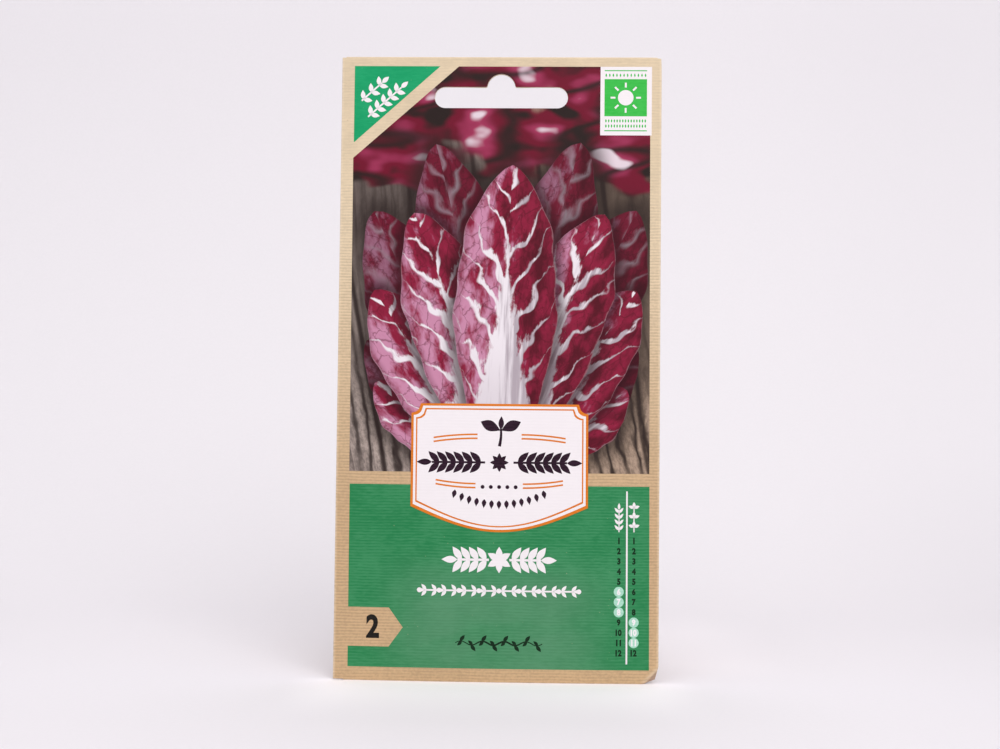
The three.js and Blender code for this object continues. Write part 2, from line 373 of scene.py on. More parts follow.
@dataclass(frozen=True)
class PacketForm:
    """Sizes of the packet in millimetres, and the surfaces on which its paper lies.

    layer is the distance from the middle of one layer of paper to the middle of the next.
    """

    width: float = 82.6
    height: float = 160.0
    lean: float = 2.0
    frame_sheet: float = 0.16
    layer: float = 0.36
    half_sheet: float = 0.05
    front_at_base: float = 1.0
    front_at_belly: float = 1.8
    back_at_base: float = 7.0
    back_at_belly: float = 8.2
    belly: float = 22.0
    pocket_top: float = 127.0
    lap: float = 12.0
    climb_width: float = 3.0
    ripple: float = 0.05

    @property
    def fold_radius(self) -> float:
        """Radius of the middle of the paper in a side fold."""
        return self.layer / 2

    @property
    def half(self) -> float:
        """From the packet's middle to where a side fold begins."""
        return self.width / 2 - self.fold_radius - self.frame_sheet / 2

    @property
    def slope(self) -> float:
        """How far back the packet leans over its height."""
        return math.tan(math.radians(self.lean))

    @property
    def set_back(self) -> float:
        """Finds how deep the packet stands: its front's foremost place comes where the frame has it.

        Returns:
            The shift in depth, in millimetres.
        """
        z = np.linspace(0.0, self.belly, 200)
        face = self.front(np.zeros_like(z), z) - self.frame_sheet / 2 + z * self.slope
        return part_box("paper_envelope")[0][1] / MM - float(face.min())

    def corners(self) -> tuple[BentCorner, BentCorner]:
        """Describes the two bent corners, both on the right.

        Returns:
            The lower and the upper one.
        """
        lower = BentCorner(self.width / 2, 0.0, 4.5, 4.5, 0.7, 0.85, -0.3, 0.5)
        upper = BentCorner(self.width / 2, self.height, 3.0, -4.0, 7.0, 1.5, -0.3, 2.0)
        return lower, upper

    def bulge(self, z: Array, at_base: float, at_belly: float) -> Array:
        """Bulge of a panel's middle: a quarter sine up to the belly, then half a cosine down to the header.

        Args:
            z: Heights.
            at_base: Bulge at the packet's base.
            at_belly: Bulge at its belly.

        Returns:
            The bulge at each height.
        """
        low = at_base + (at_belly - at_base) * np.sin(math.pi / 2 * np.clip(z / self.belly, 0.0, 1.0))
        rise = np.clip((z - self.belly) / (self.pocket_top - self.belly), 0.0, 1.0)
        return np.where(z < self.belly, low, at_belly * (0.5 + 0.5 * np.cos(math.pi * rise)))

    def arch(self, x: Array) -> Array:
        """Share of the bulge at x: 1 less the square of x over the panel's half width."""
        return 1.0 - (x / self.half) ** 2

    def waves(self, x: Array, z: Array, phase: float) -> Array:
        """Slight unevenness of the paper between belly and header: a product and a sum of slow sines.

        Args:
            x: Places across.
            z: Heights.
            phase: Where the sines start.

        Returns:
            Shift in depth.
        """
        rest = smooth_step(26.0, 48.0, z) * (1.0 - smooth_step(100.0, 124.0, z)) * self.arch(x)
        across = np.sin(x / 7.3 + phase) * np.sin(z / 11.7 + 2.0 * phase)
        return self.ripple * rest * (0.6 * across + 0.4 * np.sin((x + 1.7 * z) / 13.1 + phase))

    def front(self, x: Array, z: Array) -> Array:
        """Depth of the middle of the front paper."""
        bulge = self.bulge(z, self.front_at_base, self.front_at_belly)
        return -self.fold_radius - bulge * self.arch(x) + self.waves(x, z, 0.4)

    def back(self, x: Array, z: Array) -> Array:
        """Depth of the middle of the inner back paper."""
        bulge = self.bulge(z, self.back_at_base, self.back_at_belly)
        return self.fold_radius + bulge * self.arch(x) + self.waves(x, z, 2.1)

    def climb(self, x: Array) -> Array:
        """How far a layer has climbed onto the laps, coming from the right."""
        return self.layer * np.clip((self.lap / 2 + self.climb_width - x) / self.climb_width, 0.0, 1.0)

    def outer_lap(self, x: Array, z: Array) -> Array:
        """Depth of the middle of the outer back paper."""
        return self.back(x, z) + self.climb(x)

    def flap(self, x: Array, z: Array) -> Array:
        """Depth of the middle of a flap on the back."""
        return self.back(x, z) + self.layer + self.climb(np.abs(x))

    def settle(self, points: Array) -> Array:
        """Bends the corners, then shears the packet back by its lean and moves it to its place in the frame.

        Args:
            points: Points of the straight packet, in millimetres, one row each.

        Returns:
            The same points of the bent, leaning packet, in metres.
        """
        for corner in self.corners():
            points = corner.bend(points)
        return (points + as_points(0.0, points[:, 2] * self.slope + self.set_back, 0.0)) * MM


@dataclass(frozen=True)
class HangSlot:
    """The hang slot: a long slot with round ends and a round notch over its middle, in millimetres."""

    width: float = 34.4
    height: float = 5.5
    middle: float = 149.4
    notch_width: float = 7.3
    notch_height: float = 3.4
    flare: float = 0.5

    @property
    def notch_middle(self) -> float:
        """Height of the notch circle's centre."""
        return self.middle + self.height / 2 + self.notch_height - self.notch_width / 2

    @property
    def side(self) -> float:
        """Half width of the notch where its flare meets its circle."""
        rise = self.middle + self.height / 2 + self.flare - self.notch_middle
        return math.sqrt((self.notch_width / 2) ** 2 - rise**2)

    def columns(self) -> Array:
        """Places the columns at which the outline turns, close together on its round parts.

        Returns:
            Places across, from left to right.
        """
        turned = np.sin(quarter(9))
        notch = np.append(self.side * turned, self.side + self.flare * np.linspace(0.15, 1.0, 4) ** 2)
        end = self.width / 2 - self.height / 2
        straight = np.linspace(self.side + self.flare, end, 8)
        right = np.concatenate([notch, straight, end + self.height / 2 * turned])
        return both_sides(np.unique(np.round(right, 4)))

    def opening(self, x: Array) -> tuple[Array, Array]:
        """Lower and upper edge over x: the slot's round ends, and on top the notch with its flares.

        Args:
            x: Places across.

        Returns:
            The two heights, both the slot's middle where there is no opening.
        """
        half, reach = self.height / 2, np.abs(x)
        past = np.clip(reach - (self.width / 2 - half), 0.0, half)
        rise = np.sqrt(np.maximum(half**2 - past**2, 0.0))
        rise[reach >= self.width / 2 - 1e-6] = 0.0
        notch = self.notch_middle + np.sqrt(np.maximum((self.notch_width / 2) ** 2 - reach**2, 0.0))
        share = np.sqrt(np.clip((reach - self.side) / self.flare, 0.0, 1.0))
        flare = self.middle + half + self.flare * (1.0 - share) ** 2
        high = np.where(reach < self.side + self.flare, flare, self.middle + rise)
        return self.middle - rise, np.where(reach <= self.side, notch, high)


FORM = PacketForm()
SLOT = HangSlot()


# Meshes


def shell_faces(faces: Array, count: int) -> Array:
    """Faces of a closed shell: the near side, the far side turned round, and a wall along every open edge.

    Args:
        faces: Faces of the near side, as seen from outside.
        count: Number of points on each side. The far side's points follow the near side's.

    Returns:
        All the faces.
    """
    start, end = faces.ravel(), np.roll(faces, -1, axis=1).ravel()
    start, end = start[start != end], end[start != end]
    key = np.minimum(start, end) * count + np.maximum(start, end)
    _, place, uses = np.unique(key, return_inverse=True, return_counts=True)
    open_edge = uses[place.reshape(-1)] == 1
    a, b = start[open_edge], end[open_edge]
    far = np.where((faces[:, 2] == faces[:, 3])[:, None], faces[:, [1, 0, 2, 2]], faces[:, ::-1]) + count
    return np.concatenate([faces, far, as_points(b, a, a + count, b + count)])


def make_mesh(
    name: str, points: Array, faces: Array, reads: dict[str, Array] | None = None
) -> bpy.types.Object:
    """Puts points and faces into a new mesh object at the origin, smooth but for its sharp edges.

    Args:
        name: Name of the piece.
        points: Points in metres, one row each.
        faces: Rows of four point numbers, a triangle's last two alike.
        reads: Numbers or vectors that the finish reads at each point, by attribute name.

    Returns:
        The object, linked to the scene.
    """
    kept = np.ones(faces.shape, bool)
    kept[:, 3] = faces[:, 3] != faces[:, 2]
    counts = kept.sum(axis=1)
    mesh = bpy.data.meshes.new(name)
    mesh.vertices.add(len(points))
    mesh.vertices.foreach_set("co", np.ascontiguousarray(points, np.float32).ravel())
    mesh.loops.add(int(counts.sum()))
    mesh.loops.foreach_set("vertex_index", faces[kept].astype(np.int32))
    mesh.polygons.add(len(faces))
    mesh.polygons.foreach_set("loop_start", (np.cumsum(counts) - counts).astype(np.int32))
    mesh.polygons.foreach_set("loop_total", counts.astype(np.int32))
    mesh.polygons.foreach_set("use_smooth", np.ones(len(faces), bool))
    for key, values in (reads or {}).items():
        kind, member = ("FLOAT", "value") if values.ndim == 1 else ("FLOAT_VECTOR", "vector")
        layer = mesh.attributes.new(key, kind, "POINT")
        layer.data.foreach_set(member, np.ascontiguousarray(values, np.float32).ravel())
    mesh.update(calc_edges=True)
    mesh.validate()
    mesh.set_sharp_from_angle(angle=math.radians(SHARP_ANGLE))
    piece = bpy.data.objects.new(name, mesh)
    bpy.context.scene.collection.objects.link(piece)
    return piece


def make_shell(name: str, sides: list[Array], faces: Array, reads: dict[str, Array]) -> bpy.types.Object:
    """A closed sheet between two sides of like points, with the same numbers to read on both."""
    doubled = {key: np.concatenate([values, values]) for key, values in reads.items()}
    return make_mesh(name, np.concatenate(sides), shell_faces(faces, len(sides[0])), doubled)


def register(piece: bpy.types.Object, finish: "Finish", replaced: str | None = None) -> None:
    """Dresses a finished piece, ties it to the packet and reports it.

    Args:
        piece: The piece.
        finish: Its finish, which knows the record's material slot.
        replaced: CAD node that it stands for.
    """
    finish.dress(piece)
    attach(piece, "root")
    if replaced:
        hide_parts(replaced)
    log.info("%s: %d points, %s", piece.name, len(piece.data.vertices), finish.slot)


# Materials


class Value:
    """A number, vector or colour that a material works out. Arithmetic with it adds the nodes for it."""

    def __init__(self, desk: "Desk", socket: bpy.types.NodeSocket) -> None:
        """Holds an output socket of the desk's."""
        self.desk, self.socket = desk, socket

    def __add__(self, other: "Input") -> "Value":
        """The sum."""
        return self.desk.math("ADD", self, other)

    def __sub__(self, other: "Input") -> "Value":
        """The difference."""
        return self.desk.math("SUBTRACT", self, other)

    def __rsub__(self, other: "Input") -> "Value":
        """The difference from another number."""
        return self.desk.math("SUBTRACT", other, self)

    def __mul__(self, other: "Input") -> "Value":
        """The product."""
        return self.desk.math("MULTIPLY", self, other)

    def __truediv__(self, other: "Input") -> "Value":
        """The quotient."""
        return self.desk.math("DIVIDE", self, other)

    def __pow__(self, other: "Input") -> "Value":
        """The power."""
        return self.desk.math("POWER", self, other)

    def __abs__(self) -> "Value":
        """The size without its sign."""
        return self.desk.math("ABSOLUTE", self)

    def stretch(self, x: float, y: float, z: float) -> "Value":
        """The vector, each part multiplied by its own number."""
        return self.desk.add("ShaderNodeVectorMath", {0: self, 1: (x, y, z)}, operation="MULTIPLY")

    def parts(self) -> list["Value"]:
        """The vector's three parts."""
        first = self.desk.add("ShaderNodeSeparateXYZ", {0: self})
        return [Value(self.desk, part) for part in first.socket.node.outputs]

    def off_middle(self) -> "Value":
        """Distance from the middle of the unit step that the number is in, 0.5 at the step's ends."""
        return abs(self.desk.math("FRACT", self) - 0.5)

    def rise(self, low: float, high: float, start: float = 0.0, end: float = 1.0) -> "Value":
        """Goes smoothly from start, where the number is low, to end, where it is high."""
        inputs = {"Value": self, "From Min": low, "From Max": high, "To Min": start, "To Max": end}
        return self.desk.add("ShaderNodeMapRange", inputs, "Result", interpolation_type="SMOOTHSTEP")


Input = Value | float | tuple[float, ...]


class Desk:
    """Lays out the nodes of one material."""

    def __init__(self, name: str) -> None:
        """Starts a material that holds only a Principled shader and its output.

        Args:
            name: Name of the material.
        """
        material = bpy.data.materials.new(name)
        material.use_nodes = True
        self.tree = material.node_tree
        self.tree.nodes.clear()
        self.shader = self.tree.nodes.new("ShaderNodeBsdfPrincipled")
        output = self.tree.nodes.new("ShaderNodeOutputMaterial")
        self.tree.links.new(self.shader.outputs["BSDF"], output.inputs["Surface"])
        self.place = self.add("ShaderNodeTexCoord", {}, "Object")

    def add(
        self, kind: str, inputs: dict[str | int, Input], output: str | int = 0, **settings: object
    ) -> Value:
        """Adds a node.

        Args:
            kind: Blender's name for the kind of node.
            inputs: What to link or set, by input name or number.
            output: Which output to hand back.
            settings: The node's own properties.

        Returns:
            The output.
        """
        node = self.tree.nodes.new(kind)
        for key, value in settings.items():
            setattr(node, key, value)
        for key, value in inputs.items():
            self.feed(node.inputs[key], value)
        return Value(self, node.outputs[output])

    def feed(self, socket: bpy.types.NodeSocket, value: Input) -> None:
        """Links a value to a socket, or sets the socket's own number or colour.

        Args:
            socket: The input socket.
            value: What it is fed.
        """
        if isinstance(value, Value):
            self.tree.links.new(value.socket, socket)
        else:
            socket.default_value = (*value, 1.0) if socket.type == "RGBA" else value

    def math(self, operation: str, a: Input, b: Input = 0.0) -> Value:
        """One step of arithmetic."""
        return self.add("ShaderNodeMath", {0: a, 1: b}, operation=operation)

    def noise(
        self, vector: Value, scale: float | tuple[float, ...], detail: float = 3.0, roughness: float = 0.55
    ) -> Value:
        """Soft noise about 0.5.

        Args:
            vector: Where to read it.
            scale: How fine it is, or how fine along each axis.
            detail: How many finer noises it adds.
            roughness: How much those count.

        Returns:
            The noise.
        """
        if isinstance(scale, tuple):
            vector, scale = vector.stretch(*scale), 1.0
        inputs = {"Vector": vector, "Scale": scale, "Detail": detail, "Roughness": roughness}
        return self.add("ShaderNodeTexNoise", inputs, "Fac")

    def blend(self, share: Input, a: Input, b: Input, mode: str = "MIX") -> Value:
        """Mixes two colours."""
        return self.add("ShaderNodeMix", {0: share, 6: a, 7: b}, 2, data_type="RGBA", blend_type=mode)

    def read(self, name: str, output: str = "Fac") -> Value:
        """Reads one of the piece's own attributes."""
        return self.add("ShaderNodeAttribute", {}, output, attribute_name=name)

    def shade(self, colour: Input, roughness: Input, shine: float = 0.5) -> None:
        """Feeds the shader its colour, its roughness and how much it mirrors."""
        for key, value in {"Base Color": colour, "Roughness": roughness, "Specular IOR Level": shine}.items():
            self.feed(self.shader.inputs[key], value)

    def emboss(self, height: Value, depth: float) -> None:
        """Gives the surface relief: height, from 0 to 1, times a depth in millimetres."""
        inputs = {"Height": height, "Distance": depth * MM, "Strength": 1.0}
        self.feed(self.shader.inputs["Normal"], self.add("ShaderNodeBump", inputs, "Normal"))


@dataclass(frozen=True)
class PaperGrain:
    """Ribs and fibres of the paper, which show through every ink. The ribs' sizes are in millimetres.

    The ribs are faint in the header and a little weaker at the very base.
    """

    pitch: float = 0.765
    drift: float = 7.0
    full_below: float = 92.0
    faint_above: float = 142.0
    faint: float = 0.2

    def ribs(self, desk: Desk) -> Value:
        """Height of the ribs: half a sine of the height up the packet, with a phase that drifts slowly.

        Args:
            desk: The material's desk.

        Returns:
            A number from 0 in a furrow to 1 on a rib, closer to 0.5 where the ribs are faint.
        """
        height = desk.place.parts()[2]
        drift = desk.noise(desk.place, (60.0, 60.0, 60.0), 2.0) * self.drift
        wave = desk.math("SINE", height * (2.0 * math.pi / (self.pitch * MM)) + drift) * 0.5
        strength = height.rise(self.full_below * MM, self.faint_above * MM, 1.0, self.faint)
        broken = desk.noise(desk.place, (260.0, 260.0, 900.0), 2.0).rise(0.32, 0.62, 0.25, 1.35)
        return wave * (strength * broken * height.rise(0.003, 0.012, 0.65, 1.0)) + 0.5

    def fibres(self, desk: Desk) -> Value:
        """Noise drawn out along the ribs."""
        return desk.noise(desk.place, (500.0, 500.0, 2400.0), 4.0, 0.6)


PAPER = PaperGrain()


@dataclass(frozen=True)
class Finish:
    """What every finish has: a name, and the record's material slot that it stands for."""

    name: str
    slot: str

    def dress(self, piece: bpy.types.Object) -> None:
        """Gives a piece the finish's material alone. The material is made the first time that it is needed.

        Args:
            piece: The piece.
        """
        if self.name not in bpy.data.materials:
            self.make(Desk(self.name))
        piece.data.materials.clear()
        piece.data.materials.append(bpy.data.materials[self.name])

    def make(self, desk: Desk) -> None:
        """Lays the material out on a desk."""
        raise NotImplementedError


@dataclass(frozen=True)
class KraftFinish(Finish):
    """Bare ribbed kraft paper: deep below and paler towards the header, a painted falloff of light and sheen
    from above, with fibres and flecks, folds paler from wear and a painted highlight, and a painted shade on
    the bent lower corner.
    """

    # high and low are a painted falloff of light: pale under the light from above, deep below.
    high: Colour = (0.665, 0.54, 0.37)
    low: Colour = (0.53, 0.358, 0.2)
    fleck: Colour = (0.33, 0.2, 0.1)
    # The fold colour stands for worn paper and partly a painted highlight.
    bare: Colour = (0.84, 0.7, 0.52)
    # Painted shade on the bent lower corner.
    corner_shade: Colour = (0.36, 0.25, 0.21)
    relief: float = 0.018

    def make(self, desk: Desk) -> None:
        """Lays the material out.

        Args:
            desk: The material's desk.
        """
        rib, fibre, height = PAPER.ribs(desk), PAPER.fibres(desk), desk.place.parts()[2]
        mottle = desk.noise(desk.place, 75.0)
        grain = desk.noise(desk.place, 1500.0, 1.0) - 0.5
        mixed = rib * 0.4 + fibre * 0.42 + mottle * 0.4 + grain * height.rise(0.09, 0.14, 0.62, 0.12)
        # Painted falloff of light and sheen from above: the kraft is paler towards the header and deeper
        # below.
        colour = desk.blend(height.rise(0.035, 0.128), self.low, self.high)
        colour = desk.blend(1.0, colour, mixed.rise(0.31, 0.91, 0.86, 1.14), "MULTIPLY")
        speck = desk.noise(desk.place, (900.0, 900.0, 1500.0), 1.0)
        colour = desk.blend(speck.rise(0.72, 0.8, 0.0, 0.3), colour, self.fleck)
        # Folds and crease paler: paper worn bare there, and partly a painted highlight where they would catch
        # the light.
        colour = desk.blend(desk.read("wear_and_highlight") * fibre.rise(0.3, 0.6, 0.25, 0.7), colour, self.bare)
        # Painted shade on the bent lower corner's facet, which turns away from the light.
        colour = desk.blend(desk.read("bent_corner_shade") * 0.6, colour, self.corner_shade)
        desk.shade(colour, fibre.rise(0.2, 0.8, 0.6, 0.78), 0.3)
        desk.emboss(rib * 0.8 + fibre * 0.5, self.relief)


@dataclass(frozen=True)
class InkFinish(Finish):
    """Ink printed on the ribbed paper: even, a little thinner on the ribs, with pinholes where none took,
    and, where asked, a painted sheen low on the packet's middle.
    """

    colour: Colour
    thin: Colour
    gloss: float = 0.4
    pinholes: float = 0.3
    relief: float = 0.006
    shine: float = 0.16
    painted_sheen: float = 0.0
    bare: Colour = (0.62, 0.5, 0.36)

    def make(self, desk: Desk) -> None:
        """Lays the material out.

        Args:
            desk: The material's desk.
        """
        rib, fibre = PAPER.ribs(desk), PAPER.fibres(desk)
        mixed = rib * 0.24 + desk.noise(desk.place, 130.0) * 0.6 + fibre * 0.72
        colour = desk.blend(mixed.rise(0.58, 0.98), self.colour, self.thin)
        # Painted sheen: paler ink low on the middle, for the reflection of the floor on the belly.
        if self.painted_sheen:
            colour = desk.blend(self.sheen_mask(desk), colour, tuple(0.12 + 0.7 * part for part in self.thin))
        speck = desk.noise(desk.place, (1100.0, 1100.0, 2200.0), 1.0)
        colour = desk.blend(speck.rise(0.76, 0.84, 0.0, self.pinholes), colour, self.bare)
        desk.shade(colour, mixed.rise(0.4, 1.2, self.gloss, self.gloss + 0.12), self.shine)
        desk.emboss(rib * 0.8 + fibre * 0.3, self.relief)

    def sheen_mask(self, desk: Desk) -> Value:
        """Painted sheen: paler ink that stands in for the belly reflecting the bright floor, low on the
        packet's middle.

        Args:
            desk: The material's desk.

        Returns:
            Share of painted sheen.
        """
        x, _, z = desk.place.parts()
        mask = z.rise(0.036, 0.02) * abs(x).rise(0.036, 0.012)
        patches = desk.noise(desk.place, (40.0, 40.0, 110.0), 2.0).rise(0.3, 0.65, 0.55, 1.0)
        return mask * patches * self.painted_sheen


@dataclass(frozen=True)
class PictureFinish(Finish):
    """A picture in several inks. Its sizes are in millimetres."""

    def picture(self, desk: Desk) -> Value:
        """The picture's colour."""
        raise NotImplementedError

    def make(self, desk: Desk) -> None:
        """Lays the material out.

        Args:
            desk: The material's desk.
        """
        grain = desk.noise(desk.place, 2600.0, 1.0)
        desk.shade(self.picture(desk), grain.rise(0.3, 0.7, 0.36, 0.46), 0.14)
        desk.emboss(PAPER.ribs(desk), 0.003)


@dataclass(frozen=True)
class BoardsFinish(PictureFinish):
    """Printed picture of old boards, with blurred red leaves behind them at the top."""

    light: Colour = (0.375, 0.305, 0.268)
    tan: Colour = (0.345, 0.25, 0.185)
    dark: Colour = (0.02, 0.011, 0.01)
    leaf: Colour = (0.15, 0.005, 0.022)
    glow: Colour = (0.33, 0.035, 0.095)
    pale: Colour = (0.74, 0.64, 0.69)
    board: float = 17.0
    ridge: float = 3.1
    shadow: float = 6.5

    def boards(self, desk: Desk, x: Value, z: Value) -> Value:
        """Colour of the boards: slanting cells across, each with its own tone, grain along it and a dark gap.

        Args:
            desk: The material's desk.
            x: Place across, in millimetres.
            z: Height.

        Returns:
            The colour.
        """
        sway = desk.noise(desk.add("ShaderNodeCombineXYZ", {"X": x, "Z": z}), 0.02, 1.0)
        across = z * 0.16 + (x + sway * 7.0)
        cell = across / self.board
        board = {"W": desk.math("FLOOR", cell)}
        own = desk.add("ShaderNodeTexWhiteNoise", board, "Value", noise_dimensions="1D")
        run = desk.add("ShaderNodeCombineXYZ", {"X": across, "Z": z})
        cloud = desk.noise(run, (0.09, 0.0, 0.06), 2.0)
        tone = desk.noise(run, (0.7, 0.0, 0.035), 5.0, 0.62) + cloud * 0.7 + own * 0.16
        wood = desk.blend(x.rise(-8.0, 12.0), self.light, self.tan)
        colour = desk.blend(tone.rise(0.56, 1.0, 0.1, 1.0), self.dark, wood)
        bend = desk.noise(run, (0.11, 0.0, 0.045), 3.0, 0.6)
        edge = (across / self.ridge + bend * 2.6).off_middle()
        groove = edge.rise(0.24, 0.47) * cloud.rise(0.38, 0.58, 0.3, 1.0)
        sharp = z.rise(92.0, 68.0, 0.3, 0.9)
        worn = (desk.noise(run, (1.3, 0.0, 0.7), 4.0, 0.7) - edge * 0.35).rise(0.28, 0.6, 0.62, 1.24)
        colour = desk.blend(sharp, colour, desk.blend(1.0, colour, worn, "MULTIPLY"))
        colour = desk.blend(groove * sharp, colour, self.dark)
        return desk.blend(cell.off_middle().rise(0.44, 0.49, 0.0, 0.85), colour, self.dark)

    def blurred_leaves(self, desk: Desk, spot: Value) -> Value:
        """Colour of the blurred leaves: one noise runs through dark, red and pink to pale.

        Args:
            desk: The material's desk.
            spot: Place in millimetres.

        Returns:
            The colour.
        """
        fold = desk.noise(spot, (0.085, 0.0, 0.16), 1.5, 0.4)
        crease = abs(desk.noise(spot, (0.036, 0.0, 0.11), 0.5, 0.3) - 0.47)
        colour = desk.blend(fold.rise(0.36, 0.48), self.dark, self.leaf)
        colour = desk.blend(fold.rise(0.5, 0.66), colour, self.glow)
        colour = desk.blend(crease.rise(0.0, 0.075, 0.9, 0.0), colour, self.dark)
        return desk.blend(fold.rise(0.63, 0.71, 0.0, 0.95), colour, self.pale)

    def picture(self, desk: Desk) -> Value:
        """The picture's colour: the boards, dark towards their top, then the leaves and their shadow.

        Args:
            desk: The material's desk.

        Returns:
            The colour.
        """
        spot = desk.place.stretch(1.0 / MM, 0.0, 1.0 / MM)
        x, _, z = spot.parts()
        leafy = desk.noise(spot, (0.055, 0.0, 0.09), 2.0) + z.rise(112.0, 140.0, 0.0, 0.45)
        gloom = z.rise(98.0, 122.0) * z.rise(140.0, 126.0, 0.0, 0.72)
        colour = desk.blend(gloom, self.boards(desk, x, z), self.dark)
        colour = desk.blend(leafy.rise(0.7, 0.82), colour, self.blurred_leaves(desk, spot))
        return desk.blend(desk.read("reach").rise(0.0, self.shadow, 0.8, 0.0), colour, self.dark)


@dataclass(frozen=True)
class LeafFinish(PictureFinish):
    """Printed picture of a red leaf with a broad white rib and side veins.

    The leaf's own attributes say where a point is: leaf_place holds the millimetres across from the midrib,
    the millimetres along it and the share of its length, leaf_margin the share of the way out to the margin,
    and reach the millimetres to the nearest leaf that lies over it.
    """

    night: Colour = (0.03, 0.002, 0.006)
    shadow: Colour = (0.085, 0.004, 0.013)
    body: Colour = (0.25, 0.011, 0.041)
    shine: Colour = (0.56, 0.25, 0.38)
    rib_light: Colour = (0.8, 0.745, 0.78)
    rib_shade: Colour = (0.42, 0.36, 0.4)
    midrib: float = 10.5
    vein_pitch: float = 10.5
    focus: float = 1.0
    gloom: float = 0.0

    def veins(self, desk: Desk, place: Value, margin: Value) -> Value:
        """Share of white: the midrib narrows along the leaf, and veins leave it at even steps and a slant.

        Args:
            desk: The material's desk.
            place: The attribute leaf_place.
            margin: The attribute leaf_margin.

        Returns:
            A number from 0 on the blade to 1 on a rib.
        """
        side, along, share = place.parts()
        away, blur = abs(side), 0.55 / self.focus
        rough = (desk.noise(place, (0.5, 0.16, 0.0), 5.0, 0.65) - 0.5) * 6.0
        bow = desk.noise(place, (0.13, 0.13, 0.0), 1.0)
        taper = (1.0 - share) ** 2.3
        width = taper * self.midrib + 0.2 - share**4.0 * 2.5
        middle = (away + rough - width).rise(-blur, blur, 1.0, 0.0)
        lead = along - away * 1.7 + bow * 15.0 + rough * 0.7 + desk.math("SIGN", side) * (self.vein_pitch / 4)
        off = (lead / self.vein_pitch).off_middle() * (self.vein_pitch * 0.52) + rough * 0.2
        thick = margin.rise(0.95, 0.1) * (taper + 0.2) * bow.rise(0.3, 0.7, 0.5, 1.5)
        vein = (off - thick * 2.2).rise(-0.5 * blur, 0.5 * blur, 1.0, 0.0)
        return desk.math("MAXIMUM", middle, vein)

    def blade(self, desk: Desk, place: Value, margin: Value) -> Value:
        """Colour of the blade: folds of shadow, body and shine, crossed by a net of fine dark veins.

        Args:
            desk: The material's desk.
            place: The attribute leaf_place.
            margin: The attribute leaf_margin.

        Returns:
            The colour.
        """
        folds = desk.noise(place, (0.2, 0.075, 0.0), 4.0, 0.6)
        puckers = desk.noise(place, (0.75, 0.4, 0.0), 2.0)
        tone = folds + place.parts()[0].rise(4.0, -7.0, 0.0, 0.26) + puckers * 0.22
        colour = desk.blend(tone.rise(0.46, 0.72), self.shadow, self.body)
        colour = desk.blend(tone.rise(0.72, 0.94, 0.0, 0.95), colour, self.shine)
        bent = desk.noise(place, (0.4, 0.4, 0.0))
        net = desk.add("ShaderNodeVectorMath", {0: place.stretch(0.3, 0.19, 0.0), 1: bent}, operation="ADD")
        inputs = {"Vector": net, "Scale": 1.0}
        line = desk.add("ShaderNodeTexVoronoi", inputs, "Distance", feature="DISTANCE_TO_EDGE")
        colour = desk.blend(line.rise(0.0, 0.06, 0.55, 0.0), colour, self.shadow)
        return desk.blend((margin + bent * 0.1).rise(1.02, 1.05, 0.0, 0.2), colour, self.rib_light)

    def picture(self, desk: Desk) -> Value:
        """The picture's colour: blade and ribs, darker at the margin and in the shadow of a leaf over it.

        Args:
            desk: The material's desk.

        Returns:
            The colour.
        """
        place, margin = desk.read("leaf_place", "Vector"), desk.read("leaf_margin")
        side, _, share = place.parts()
        hollow = desk.noise(place, (0.8, 0.05, 0.0), 4.0) + side.rise(3.5, -2.0, -0.16, 0.06)
        rib = desk.blend(hollow.rise(0.28, 0.55), self.rib_shade, self.rib_light)
        rib = desk.blend(share.rise(0.42, 0.16, 0.0, 0.3), rib, self.rib_shade)
        colour = desk.blend(self.veins(desk, place, margin), self.blade(desk, place, margin), rib)
        colour = desk.blend(margin.rise(0.8, 1.0, 0.0, 0.4), colour, self.shadow)
        colour = desk.blend(desk.read("reach").rise(0.0, 4.2, 0.85, 0.0), colour, self.night)
        return desk.blend(self.gloom, colour, self.night)


@dataclass(frozen=True)
class GlueFinish(Finish):
    """Dried paste: milky, with faint bubbles and brush marks."""

    def make(self, desk: Desk) -> None:
        """Lays the material out.

        Args:
            desk: The material's desk.
        """
        brush = desk.noise(desk.place, (1500.0, 1500.0, 120.0))
        bubble = desk.noise(desk.place, 1400.0, 1.0)
        colour = desk.blend(brush.rise(0.3, 0.7), (0.62, 0.55, 0.4), (0.82, 0.78, 0.66))
        desk.shade(colour, bubble.rise(0.3, 0.7, 0.35, 0.6))
        desk.emboss(bubble, 0.01)


@dataclass(frozen=True)
class SeedFinish(Finish):
    """Dry seed husk: mottled, each seed with its own shade."""

    def make(self, desk: Desk) -> None:
        """Lays the material out.

        Args:
            desk: The material's desk.
        """
        grain = desk.noise(desk.place, 2600.0)
        tone = grain * 0.5 + desk.read("shade") * 0.5
        colour = desk.blend(tone.rise(0.2, 0.8), (0.2, 0.115, 0.05), (0.56, 0.4, 0.22))
        desk.shade(colour, grain.rise(0.3, 0.7, 0.6, 0.8))
        desk.emboss(grain, 0.02)


